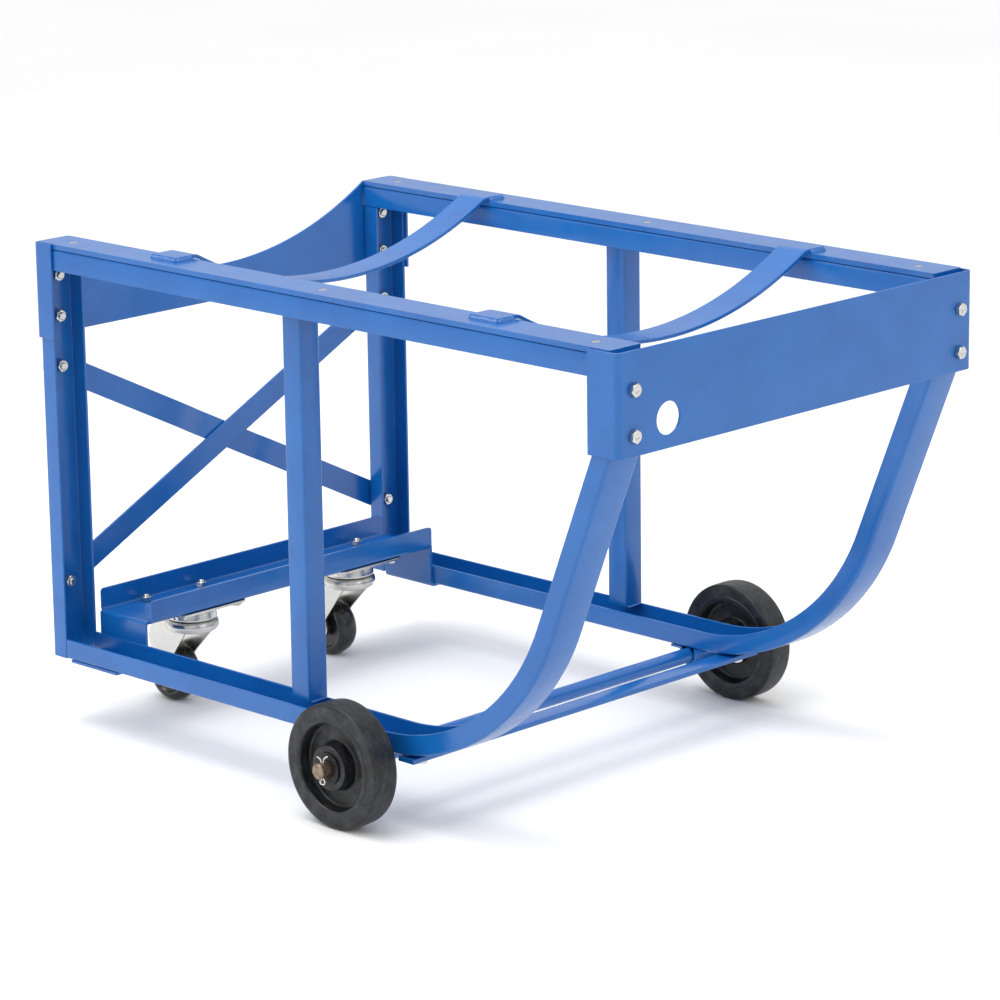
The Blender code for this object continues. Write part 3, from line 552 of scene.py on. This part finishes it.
# ---- saddle straps
def saddle_strap(name):
    """Flat bar bent into a cradle, its flat ends welded down on the cap strips."""
    low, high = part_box(name)
    dip = high.z - low.z - STRAP_T
    knee_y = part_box("cap_strip_l")[0].y - STRAP_KNEE_IN
    knee_z = high.z - STRAP_KNEE_R
    radius = (knee_y**2 + (dip - STRAP_KNEE_R) ** 2 - STRAP_KNEE_R**2) / (2 * dip)
    centre_z = high.z - dip + radius
    bend = math.atan2(knee_y, centre_z - knee_z)

    def half_line(offset):
        points = [Vector((high.y, high.z - offset))]
        knee = STRAP_KNEE_R - offset
        for i in range(9):
            a = math.pi / 2 + bend * i / 8
            points.append(Vector((knee_y + knee * math.cos(a), knee_z + knee * math.sin(a))))
        for i in range(1, 25):
            a = -math.pi / 2 + bend * (1 - i / 24)
            reach = radius + offset
            points.append(Vector((reach * math.cos(a), centre_z + reach * math.sin(a))))
        return points

    top, under = half_line(0), half_line(STRAP_T)
    line = top + [Vector((-p[0], p[1])) for p in reversed(top[:-1])]
    line += [Vector((-p[0], p[1])) for p in under] + list(reversed(under[:-1]))
    bar = prism(line, (low.x, 0, 0), Y, Z, X * (high.x - low.x))
    piece(f"{name}_look", bar, BLUE, stands_for=[name], edge=1.1 * MM)

    foot_z = high.z - STRAP_T
    inner = knee_y + 3 * MM
    for tag, side in SIDES:
        end = side * high.y
        near = side * inner
        path = [(low.x, near, foot_z), (low.x, end, foot_z), (high.x, end, foot_z),
                (high.x, near, foot_z)]
        for i, (a, b) in enumerate(zip(path, path[1:])):
            outward = [-X, Y * side, X][i]
            lean = (Z + outward * 0.8).normalized()
            weld_bead(f"{name}_weld_{tag}{i + 1}", [a, b], lean, WELD_W, BLUE, 0.7)


# ---- end plates
def plate_plan(face_x, half, wing, inward):
    """Plan of a plate folded down both sides, from its outer face inwards."""
    bend = PLATE_BEND
    t = PLATE_T
    outer = [(wing, -half, 0), (0, -half, bend), (0, half, bend), (wing, half, 0)]
    inner = [(wing, half - t, 0), (t, half - t, bend - t), (t, -half + t, bend - t),
             (wing, -half + t, 0)]
    line = soft_line(outer + inner, steps=7)
    return [Vector((face_x + inward * p[0], p[1])) for p in line]


def front_end_plate():
    low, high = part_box("front_end_plate")
    plan = plate_plan(high.x, high.y, high.x - low.x, -1)
    plate = prism(plan, (0, 0, low.z), X, Y, Z * (high.z - low.z))
    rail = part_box("cap_strip_r")[1].y
    hole = Vector((high.x, -(abs(rail) - HAND_HOLE_IN), high.z - HAND_HOLE_DOWN))
    rod = turned([(HAND_HOLE_R, -0.02), (HAND_HOLE_R, 0.02)], hole, X, 64, closed=False)
    piece("front_end_plate_look", carved(plate, rod), BLUE, stands_for=["front_end_plate"])


def rear_end_plate():
    low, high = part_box("rear_end_plate")
    plan = plate_plan(low.x, high.y, high.x - low.x, 1)
    plate = prism(plan, (0, 0, low.z), X, Y, Z * (high.z - low.z))
    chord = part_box("cap_strip_l")[0].y + 2 * MM
    sag = REAR_ARC_DEPTH
    radius = (chord**2 + sag**2) / (2 * sag)
    centre = Vector((low.x, 0, high.z - sag + radius))
    arc = turned([(radius, -0.02), (radius, 0.05)], centre, X, 256, closed=False)
    piece("rear_end_plate_look", carved(plate, arc), BLUE, stands_for=["rear_end_plate"])


# ---- brace
def brace_bar(tag, way):
    """Flat bar between the rear posts. Bar b is joggled outwards to pass over bar a."""
    name = f"brace_bar_{tag}"
    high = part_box(name)[1]
    upper = bolt_centre("brace_bolt_l1" if way > 0 else "brace_bolt_r1")
    lower = bolt_centre("brace_bolt_r2" if way > 0 else "brace_bolt_l2")
    span = Vector((0, upper.y - lower.y, upper.z - lower.z))
    along = span.normalized()
    across = X.cross(along)
    half = span.length / 2 + BRACE_END
    middle = (upper + lower) / 2
    steps = 60
    loops = []
    for i in range(steps + 1):
        s = half * (2 * i / steps - 1)
        lift = 0.0
        if tag == "b":
            lift = 1 - min(1.0, max(0.0, (abs(s) - JOGGLE_FLAT) / JOGGLE_RUN))
            lift = lift * lift * (3 - 2 * lift)
        x = high.x - BRACE_T - lift * (BRACE_T + FIT_GAP)
        centre = Vector((x, middle.y, middle.z)) + along * s
        end = half - abs(s)
        corner = 5 * MM
        width = BRACE_W / 2
        if end < corner:
            width -= corner - math.sqrt(corner**2 - (corner - end) ** 2)
        loops.append([
            centre + across * -width, centre + across * -width + X * BRACE_T,
            centre + across * width + X * BRACE_T, centre + across * width,
        ])
    piece(f"{name}_look", skin(loops), BLUE, stands_for=[name])


# ---- bolts
def bolt_centre(node):
    low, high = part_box(node)
    return (low + high) / 2


def hex_ring(centre, axis, flats, chamfer, spin, count=48):
    """Ring of a hexagon whose corners are trimmed by a chamfer cone of that radius."""
    first = (Z if abs(axis.z) < 0.9 else X).cross(axis).normalized()
    second = axis.cross(first)
    points = []
    for i in range(count):
        a = math.tau * i / count
        facet = (a + math.pi / 6) % (math.pi / 3) - math.pi / 6
        r = min(flats / 2 / math.cos(facet), chamfer)
        turn = a + spin
        points.append(centre + first * (r * math.cos(turn)) + second * (r * math.sin(turn)))
    return points


def hex_block(base, axis, flats, height, spin, both):
    """Head or nut standing on its base. Both ends are chamfered on a nut."""
    corner = flats / 2 / math.cos(math.pi / 6)
    drop = corner - flats / 2 * 0.93
    rise = drop * math.tan(math.radians(30))
    dish = [] if both else [(height - 0.7 * MM, flats * 0.17), (height - 0.5 * MM, flats * 0.22),
                            (height, flats * 0.26)]
    levels = dish + [(height, corner - drop)]
    levels += [(height - rise * k / 4, corner - drop * (1 - k / 4)) for k in range(1, 5)]
    if both:
        levels += [(rise * k / 4, corner - drop * (1 - k / 4)) for k in range(4, 0, -1)]
        levels.append((0, corner - drop))
    else:
        levels += [(0.5 * MM, corner), (0.4 * MM, flats / 2 * 0.94), (0, flats / 2 * 0.94)]
    return skin([hex_ring(base + axis * z, axis, flats, r, spin) for z, r in levels])


def thread_end(base, axis, diameter, length):
    """Threaded bolt end with a chamfered tip."""
    r = diameter / 2
    profile = [(r - 0.5 * MM, 0.0)]
    turns = max(1, int(length / THREAD_PITCH))
    for i in range(turns):
        z = i * THREAD_PITCH
        profile += [(r - 0.15 * MM, z + 0.35 * THREAD_PITCH),
                    (r - 0.75 * MM, z + 0.85 * THREAD_PITCH)]
    profile += [(r - 1.0 * MM, length), (0.01 * MM, length)]
    return turned(profile, base, axis, 28, closed=False)


def hex_bolt(name, head, axis, grip, sizes, spin=0.2, body="frame", stands_for=()):
    """Bolt and nut: the head's underside at that point, the shank along the axis."""
    flats, head_h, nut_h, diameter = sizes
    parts = [
        hex_block(head, -axis, flats, head_h, spin, False),
        hex_block(head + axis * grip, axis, flats, nut_h, spin * 2.3 + 0.4, True),
        thread_end(head + axis * (grip + nut_h - 0.2 * MM), axis, diameter, THREAD_SPARE),
        turned([(diameter / 2, 0.0), (diameter / 2, grip)], head, axis, 28, closed=False),
    ]
    piece(name, merged(parts), ZINC, body, stands_for, edge=0, sharp=24)


def frame_bolts():
    for tag, side in SIDES:
        for kind, way in (("rear_plate", 1), ("front_plate", -1), ("brace", 1)):
            for i in (1, 2):
                node = f"{kind}_bolt_{tag}{i}"
                low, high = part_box(node)
                centre = (low + high) / 2
                _, head_h, nut_h, _ = BIG_BOLT
                head_x = low.x + head_h if way > 0 else high.x - head_h
                grip = high.x - low.x - head_h - nut_h - THREAD_SPARE
                spin = 0.35 * i + (0.5 if side > 0 else 0.0) + len(kind) * 0.13
                hex_bolt(f"{node}_look", Vector((head_x, centre.y, centre.z)), X * way, grip,
                         BIG_BOLT, spin, stands_for=[node])
        node = f"tie_bar_bolt_{tag}"
        low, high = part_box(node)
        centre = (low + high) / 2
        _, head_h, nut_h, _ = SMALL_BOLT
        grip = high.z - low.z - head_h - nut_h - THREAD_SPARE
        hex_bolt(f"{node}_look", Vector((centre.x, centre.y, low.z + head_h)), Z, grip,
                 SMALL_BOLT, 0.3, stands_for=[node])


# ---- tie bar and caster tray
def tie_bar():
    low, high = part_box("tie_bar")
    wide, tall = high.x - low.x, high.z - low.z
    outline = soft_line([(0, 0, 0.9 * MM), (wide, 0, 0.9 * MM), (wide, tall, 0.9 * MM),
                         (0, tall, 0.9 * MM)], steps=3)
    bar = prism(outline, (low.x, low.y, low.z), X, Z, Y * (high.y - low.y))
    piece("tie_bar_look", bar, BLUE, stands_for=["tie_bar"])


def caster_tray():
    """Folded tray across the rear: its floor turns down and out into a foot at each end."""
    low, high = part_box("caster_tray")
    t, bend = TRAY_T, TRAY_BEND
    end_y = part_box("rear_post_l")[0].y - 0.6 * MM
    floor_z = high.z - TRAY_DEPTH
    wide = high.x - low.x
    flange_y = end_y - bend
    tall = high.z - floor_z
    trough = soft_line(
        [(0, tall, 0), (0, 0, bend), (wide, 0, bend), (wide, tall, 0), (wide - t, tall, 0),
         (wide - t, t, bend - t), (t, t, bend - t), (t, tall, 0)], steps=6)
    body = prism(trough, (low.x, -flange_y, floor_z), X, Z, Y * (2 * flange_y))
    corner = 5 * MM
    keep = soft_line([(-flange_y - 1, floor_z - 1, 0), (flange_y + 1, floor_z - 1, 0),
                      (flange_y + 1, floor_z + bend, 0), (flange_y, floor_z + bend, 0),
                      (flange_y, high.z, corner), (-flange_y, high.z, corner),
                      (-flange_y, floor_z + bend, 0), (-flange_y - 1, floor_z + bend, 0)])
    body = carved(body, prism(keep, (low.x - 0.01, 0, 0), Y, Z, X * (wide + 0.02)), "INTERSECT")
    foot_top = low.z + t
    for side in (-1, 1):
        line = [
            (flange_y - 1 * MM, floor_z + t, 0), (end_y, floor_z + t, bend),
            (end_y, foot_top, bend - t), (high.y, foot_top, 0), (high.y, low.z, 0),
            (end_y - t, low.z, bend), (end_y - t, floor_z, bend - t),
            (flange_y - 1 * MM, floor_z, 0),
        ]
        line = [Vector((side * p[0], p[1])) for p in soft_line(line, steps=6)]
        inset = 5.5 * MM
        foot = prism(line, (low.x + inset, 0, 0), Y, Z, X * (wide - 2 * inset))
        body = carved(body, foot, "UNION")
    piece("caster_tray_look", body, BLUE, stands_for=["caster_tray"],
          edge=0.5 * MM)


# ---- axle, wheels and what holds them
def axle():
    low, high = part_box("axle")
    centre = Vector(((low.x + high.x) / 2, 0, (low.z + high.z) / 2))
    r, half = AXLE_R, high.y
    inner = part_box("axle_sleeve_l")[0].y
    painted = turned([(r, -inner), (r, inner)], centre, Y, 64, closed=False)
    piece("axle_painted_middle", painted, BLUE, stands_for=["axle"], edge=0,
          origin=centre)
    for tag, side in SIDES:
        profile = [(r, inner), (r, half - 1.4 * MM), (r - 1.4 * MM, half), (r * 0.55, half),
                   (r * 0.45, half - 0.15 * MM), (0.01 * MM, half - 0.25 * MM)]
        end = turned(profile, centre, Y * side, 64, closed=False)
        bore = Vector((centre.x, side * (half - PIN_INSET), centre.z))
        hole = turned([(2.1 * MM, -0.02), (2.1 * MM, 0.02)], bore, Z, 24, closed=False)
        piece(f"axle_end_{tag}", carved(end, hole), STEEL, stands_for=["axle"],
              edge=0, origin=centre)


def axle_saddle(tag):
    """Strap bent round the axle and welded under the rail."""
    node = f"axle_saddle_{tag}"
    low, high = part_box(node)
    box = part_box("axle")
    centre = (box[0] + box[1]) / 2
    t = 3.2 * MM
    r = AXLE_R + FIT_GAP
    half = (high.x - low.x) / 2
    top = high.z - centre.z
    outer = [(half, top, 0), (half, top - t, 0.6 * MM), (r + t, top - t, 2.2 * MM)]
    inner = [(-r, top, 0.4 * MM)]
    for i in range(25):
        a = math.pi * i / 24
        outer.append(((r + t) * math.cos(a), -(r + t) * math.sin(a), 0))
        inner.append((-r * math.cos(a), -r * math.sin(a), 0))
    outer += [(-r - t, top - t, 2.2 * MM), (-half, top - t, 0.6 * MM), (-half, top, 0)]
    inner.append((r, top, 0.4 * MM))
    line = soft_line(outer + inner, steps=4)
    clip = prism(line, (centre.x, low.y, centre.z), X, Z, Y * (high.y - low.y))
    piece(f"{node}_look", clip, BLUE, stands_for=[node], edge=0.6 * MM)


def big_wheel(tag):
    """Solid rubber wheel: crowned tread, rounded shoulders, rim band, deep recess, stepped hub."""
    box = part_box(f"wheel_{tag}")
    centre = (box[0] + box[1]) / 2
    r = (box[1].z - box[0].z) / 2
    hub = (box[1].y - box[0].y) / 2
    half = 0.75 * INCH
    bore = 12.8 * MM
    face = [
        (bore, hub - 2.6 * MM, 0), (17.6 * MM, hub - 2.6 * MM, 0.5 * MM),
        (18.6 * MM, hub, 0.6 * MM), (27.2 * MM, hub, 1.6 * MM),
        (29.2 * MM, 4.6 * MM, 3.0 * MM), (51.0 * MM, 3.6 * MM, 3.0 * MM),
        (52.6 * MM, half - 2.2 * MM, 0.8 * MM), (54.0 * MM, half, 1.2 * MM),
        (59.5 * MM, half, 0.9 * MM), (60.3 * MM, half - 0.9 * MM, 0.6 * MM),
        (r - 5.2 * MM, half - 0.9 * MM, 2.5 * MM), (r - 0.9 * MM, half - 1.9 * MM, 3.2 * MM),
    ]
    crown = [(r - 0.3 * MM, half - 7.0 * MM, 3.0 * MM), (r, half - 14.0 * MM, 3.0 * MM)]
    one = face + crown
    line = soft_line(one + [(a, -b, c) for a, b, c in reversed(one)], steps=5)
    piece(f"rubber_wheel_{tag}", turned(line, centre, Y, 120), RUBBER, f"wheel_{tag}",
          [f"wheel_{tag}"], edge=0, origin=centre, sharp=50)

    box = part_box(f"wheel_bush_{tag}")
    long = (box[1].y - box[0].y) / 2
    thin = AXLE_R + FIT_GAP
    wall = 12.5 * MM
    bush = soft_line([(thin, -long, 0.4 * MM), (wall, -long, 0.5 * MM), (wall, long, 0.5 * MM),
                      (thin, long, 0.4 * MM)], steps=3)
    piece(f"wheel_bush_{tag}_look", turned(bush, centre, Y, 56), OXIDE, f"wheel_{tag}",
          [f"wheel_bush_{tag}"], edge=0, origin=centre)


def axle_fittings(tag):
    for kind, finish in (("washer_outer", OXIDE), ("washer_inner", OXIDE), ("axle_sleeve", BLUE)):
        node = f"{kind}_{tag}"
        low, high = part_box(node)
        centre = (low + high) / 2
        half = (high.y - low.y) / 2
        rim = (high.z - low.z) / 2
        inner = AXLE_R + FIT_GAP
        ease = min(0.5 * MM, 0.3 * half)
        line = soft_line([(inner, -half, ease), (rim, -half, ease), (rim, half, ease),
                          (inner, half, ease)], steps=3)
        piece(f"{node}_look", turned(line, centre, Y, 64), finish, stands_for=[node],
              edge=0, origin=centre)


def cotter_pin(tag, side):
    """Split pin: an eye above the axle, two half-round legs through it, bent apart below."""
    node = f"cotter_pin_{tag}"
    axle_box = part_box("axle")
    centre = (axle_box[0] + axle_box[1]) / 2
    y = side * (axle_box[1].y - PIN_INSET)
    wire = 1.15 * MM
    r = AXLE_R
    eye_r = 3.0 * MM
    for leg in (-1, 1):
        points = []
        # the legs spread into a V above the axle, the eye hangs below it
        eye_z = -r - 1.8 * MM - eye_r
        for i in range(9):
            a = -math.pi / 2 + math.pi * 0.84 * i / 8
            points.append((leg * eye_r * math.cos(a), eye_z + eye_r * math.sin(a)))
        points += [(leg * 1.1 * MM, -r - 0.4 * MM), (leg * 1.1 * MM, r + 0.4 * MM)]
        reach = 9.5 * MM if leg > 0 else 8.0 * MM
        for i in range(1, 7):
            a = 0.115 * i
            points.append((leg * (1.1 * MM + reach * i / 6 * math.sin(a)),
                           r + 0.4 * MM + reach * i / 6 * math.cos(a)))
        wireframe = []
        places = [Vector((centre.x + a * 0.9, y + a * 0.45, centre.z + b))
                  for a, b in points]
        for i, at in enumerate(places):
            ahead = places[min(i + 1, len(places) - 1)] - places[max(i - 1, 0)]
            wireframe.append(ring_at(at, ahead.normalized(), wire, 12))
        name = f"split_pin_{tag}_{'near' if leg > 0 else 'far'}_leg"
        piece(name, skin(wireframe), ZINC, stands_for=[node], edge=0,
              sharp=60)


# ---- casters
def caster_top_plate(tag, centre, top):
    """Pressed plate with its raised ball race, four bolts and the domed upper race."""
    low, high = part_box(f"caster_plate_{tag}")
    wide, long = (high.x - low.x) / 2, (high.y - low.y) / 2
    t = 3.2 * MM
    corner = 11 * MM
    outline = soft_line([(-wide, -long, corner), (wide, -long, corner), (wide, long, corner),
                         (-wide, long, corner)], steps=8)
    base = top - t
    sheet = prism(outline, (centre.x, centre.y, base), X, Y, Z * t)
    piece(f"caster_plate_{tag}_look", sheet, ZINC, stands_for=[f"caster_plate_{tag}"],
          edge=0.5 * MM)
    race = soft_line([
        (6.6 * MM, base + 0.5 * MM, 0), (29.5 * MM, base + 0.5 * MM, 0),
        (29.8 * MM, base - 1.0 * MM, 2.0 * MM), (31.8 * MM, base - 6.0 * MM, 5.0 * MM),
        (33.0 * MM, low.z + 2.2 * MM, 1.5 * MM), (32.2 * MM, low.z, 1.0 * MM),
        (29.0 * MM, low.z, 0.8 * MM), (28.0 * MM, base - 7 * MM, 4 * MM),
        (6.6 * MM, base - 7 * MM, 0),
    ], steps=5)
    piece(f"caster_race_{tag}", turned(race, Vector((centre.x, centre.y, 0)), Z, 80), ZINC,
          edge=0, origin=centre, sharp=60)
    tray_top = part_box("caster_tray")[1].z - TRAY_DEPTH + TRAY_T
    grip = tray_top - base + 0.2 * MM
    spins = (0.1, 0.45, 0.8, 0.3)
    for i, (sx, sy) in enumerate(((1, 1), (-1, 1), (-1, -1), (1, -1))):
        head = Vector((centre.x + sx * CASTER_HOLES[0], centre.y + sy * CASTER_HOLES[1], base))
        hex_bolt(f"caster_bolt_{tag}{i + 1}", head, Z, grip, SMALL_BOLT, spins[i])


def caster_fork(tag, centre):
    """Pressed fork: round lower race with two legs that taper back to the wheel's axle."""
    node = f"caster_fork_{tag}"
    low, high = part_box(node)
    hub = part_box(f"caster_wheel_{tag}")
    axle_at = (hub[0] + hub[1]) / 2
    top = high.z
    t = 3.0 * MM
    inner = 18 * MM
    here = Vector((centre.x, centre.y, 0))
    dish = soft_line([
        (6.6 * MM, top - 5.0 * MM, 0), (22 * MM, top - 5.0 * MM, 3 * MM),
        (25.5 * MM, top - 0.6 * MM, 2.5 * MM), (31 * MM, top - 0.2 * MM, 1.5 * MM),
        (34.2 * MM, top - 2.4 * MM, 2.5 * MM), (35.5 * MM, top - 7.5 * MM, 5 * MM),
        (32.6 * MM, top - 14.2 * MM, 3.0 * MM), (28 * MM, top - 15 * MM, 1.2 * MM),
        (29.5 * MM, top - 9 * MM, 3 * MM), (24 * MM, top - 7.6 * MM, 2 * MM),
        (6.6 * MM, top - 8.2 * MM, 0),
    ], steps=6)
    parts = [turned(dish, here, Z, 80)]
    ax, az = axle_at.x, axle_at.z
    cx = centre.x
    eye = 13 * MM
    leg = [(cx + 17 * MM, top - 12 * MM, 3 * MM), (cx + 15 * MM, top - 4 * MM, 2 * MM),
           (cx - 46 * MM, top - 4 * MM, 8 * MM), (cx - 60 * MM, az + 44 * MM, 18 * MM)]
    for i in range(13):
        a = math.pi + (math.pi + 0.15) * i / 12
        leg.append((ax + eye * math.cos(a), az + eye * math.sin(a), 0))
    leg += [
        (cx - 26 * MM, az + 14 * MM, 7 * MM), (cx - 15 * MM, az + 28 * MM, 16 * MM),
        (cx + 11 * MM, top - 20 * MM, 10 * MM),
    ]
    line = soft_line(leg, steps=5)
    for s in (-1, 1):
        # each leg leans out a little towards the race
        loops = []
        for outer in (0, 1):
            row = []
            for p in line:
                rise = max(0.0, min(1.0, (p[1] - (az + 20 * MM)) / (42 * MM)))
                y = inner + outer * t + 6.5 * MM * rise * rise
                row.append(Vector((p[0], centre.y + s * y, p[1])))
            loops.append(row)
        parts.append(skin(loops))
        # stiffening collar pressed round the axle hole
        ring = soft_line([(4.6 * MM, 0, 0), (10 * MM, 0, 0.8 * MM), (9 * MM, 1.1 * MM, 0.6 * MM),
                          (4.6 * MM, 1.1 * MM, 0)], steps=3)
        face = Vector((ax, centre.y + s * (inner + t - 0.1 * MM), az))
        parts.append(turned(ring, face, Y * s, 40))
    piece(f"{node}_look", merged(parts), ZINC, f"swivel_{tag}", [node],
          edge=0.4 * MM, origin=axle_at)

    low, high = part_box(f"caster_axle_{tag}")
    _, head_h, nut_h, _ = SMALL_BOLT
    head = Vector((ax, low.y + head_h, az))
    grip = high.y - low.y - head_h - nut_h - THREAD_SPARE
    hex_bolt(f"caster_axle_{tag}_look", head, Y, grip, SMALL_BOLT, 0.5, f"swivel_{tag}",
             [f"caster_axle_{tag}"])


def caster_kingpin(tag, centre):
    """Rivet that holds the two races together, its peened head under the fork."""
    node = f"caster_kingpin_{tag}"
    low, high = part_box(node)
    line = soft_line([
        (0.01 * MM, high.z, 0), (5.0 * MM, high.z, 0.8 * MM), (6 * MM, high.z - 1 * MM, 0),
        (6 * MM, low.z + 7.2 * MM, 0), (11 * MM, low.z + 6.4 * MM, 0.6 * MM),
        (10.6 * MM, low.z + 3 * MM, 2 * MM), (6 * MM, low.z + 0.3 * MM, 2 * MM),
        (0.01 * MM, low.z, 0),
    ], steps=4)
    pin = turned(line, Vector((centre.x, centre.y, 0)), Z, 48, closed=False)
    piece(f"{node}_look", pin, STEEL, stands_for=[node], edge=0,
          origin=centre)


def caster_wheel(tag):
    """Hard rubber wheel with a rounded tread, thin side recesses and a hub of the same rubber."""
    node = f"caster_wheel_{tag}"
    low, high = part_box(node)
    centre = (low + high) / 2
    r = (high.z - low.z) / 2
    hub = (high.y - low.y) / 2
    half = 15 * MM
    one = [
        (9.4 * MM, half - 4.4 * MM, 1.0 * MM), (25.0 * MM, half - 4.4 * MM, 2.0 * MM),
        (27.4 * MM, half - 0.4 * MM, 1.0 * MM), (30.0 * MM, half, 1.0 * MM),
        (34.4 * MM, half - 1.6 * MM, 3.0 * MM), (37.0 * MM, half - 6.2 * MM, 5.0 * MM),
        (r, half - 12.0 * MM, 6.0 * MM),
    ]
    core = [(4.4 * MM, hub - 0.4 * MM, 0.3 * MM), (9.4 * MM, hub - 0.4 * MM, 0.6 * MM)]
    line = soft_line(core + one + [(a, -b, c) for a, b, c in reversed(core + one)], steps=5)
    piece(f"{node}_look", turned(line, centre, Y, 96), CASTER, f"caster_roll_{tag}", [node],
          edge=0, origin=centre, sharp=50)


def casters():
    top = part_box("caster_tray")[1].z - TRAY_DEPTH - FIT_GAP
    for tag, _ in SIDES:
        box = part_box(f"caster_plate_{tag}")
        centre = Vector(((box[0].x + box[1].x) / 2, (box[0].y + box[1].y) / 2, box[0].z))
        caster_top_plate(tag, centre, top)
        caster_fork(tag, centre)
        caster_kingpin(tag, centre)
        caster_wheel(tag)


def whole_cart():
    for tag, _ in SIDES:
        side_frame(tag)
    for name in ("saddle_strap_rear", "saddle_strap_front"):
        saddle_strap(name)
    front_end_plate()
    rear_end_plate()
    brace_bar("a", 1)
    brace_bar("b", -1)
    frame_bolts()
    tie_bar()
    caster_tray()
    axle()
    for tag, side in SIDES:
        axle_saddle(tag)
        big_wheel(tag)
        axle_fittings(tag)
        cotter_pin(tag, side)
    casters()


whole_cart()


# ---- studio
def floor():
    reach = 40.0
    bm = skin([[Vector((-reach, -reach, z)), Vector((reach, -reach, z)), Vector((reach, reach, z)),
                Vector((-reach, reach, z))] for z in (-0.02, -0.0001)])
    mesh = bpy.data.meshes.new("studio_floor")
    bm.to_mesh(mesh)
    bm.free()
    mesh.materials.append(studio_floor())
    made = bpy.data.objects.new("studio_floor", mesh)
    bpy.context.scene.collection.objects.link(made)


def softbox(name, at, size, power):
    light = bpy.data.lights.new(name, "AREA")
    light.shape = "RECTANGLE"
    light.size, light.size_y = size
    light.energy = power
    made = bpy.data.objects.new(name, light)
    made.location = at
    aim = Vector((0, 0, 0.3)) - Vector(at)
    made.rotation_euler = aim.to_track_quat("-Z", "Y").to_euler()
    bpy.context.scene.collection.objects.link(made)


def studio():
    floor()
    world = bpy.data.worlds.new("white room")
    world.use_nodes = True
    bpy.context.scene.world = world
    ways = add(world, "TexCoord").outputs["Generated"]
    height = add(world, "SeparateXYZ", links={"Vector": ways}).outputs["Z"]
    # dim near the horizon, bright overhead
    glow = add(world, "MapRange", {1: 0.0, 2: 0.8, 3: 0.58, 4: 1.2}, {0: height})
    sky = world.node_tree.nodes["Background"]
    sky.inputs["Color"].default_value = (1.0, 1.0, 1.0, 1.0)
    world.node_tree.links.new(glow.outputs["Result"], sky.inputs["Strength"])
    softbox("softbox above", (-0.6, -0.8, 3.4), (2.4, 2.4), 60)
    softbox("softbox right", (3.4, 0.4, 2.0), (1.6, 2.0), 16)
    softbox("softbox left", (-1.2, -3.6, 1.9), (1.8, 1.6), 26)
    bpy.context.scene.view_settings.view_transform = "Standard"


# viewing direction, roll and reach of the lens
AZIMUTH, ELEVATION, ROLL = (math.radians(a) for a in (44.593, 14.327, -0.801))
LENS, DISTANCE = 152.935, 5.2446
AIM = Vector((-0.04005, 0.0, 0.300))
SHIFT_RIGHT, SHIFT_UP = 0.034525, 0.006437


def camera():
    sin, cos = math.sin(AZIMUTH), math.cos(AZIMUTH)
    back = Vector((sin * math.cos(ELEVATION), -cos * math.cos(ELEVATION), math.sin(ELEVATION)))
    level = Vector((cos, sin, 0))
    upright = back.cross(level)
    right = math.cos(ROLL) * level + math.sin(ROLL) * upright
    up = -math.sin(ROLL) * level + math.cos(ROLL) * upright
    place = AIM + right * SHIFT_RIGHT + up * SHIFT_UP + back * DISTANCE
    data = bpy.data.cameras.new("camera")
    data.lens = LENS
    data.sensor_width = 36.0
    data.clip_end = 200.0
    made = bpy.data.objects.new("camera", data)
    turn = Matrix((right, up, back)).transposed().to_4x4()
    made.matrix_world = Matrix.Translation(place) @ turn
    bpy.context.scene.collection.objects.link(made)
    bpy.context.scene.camera = made


studio()
camera()
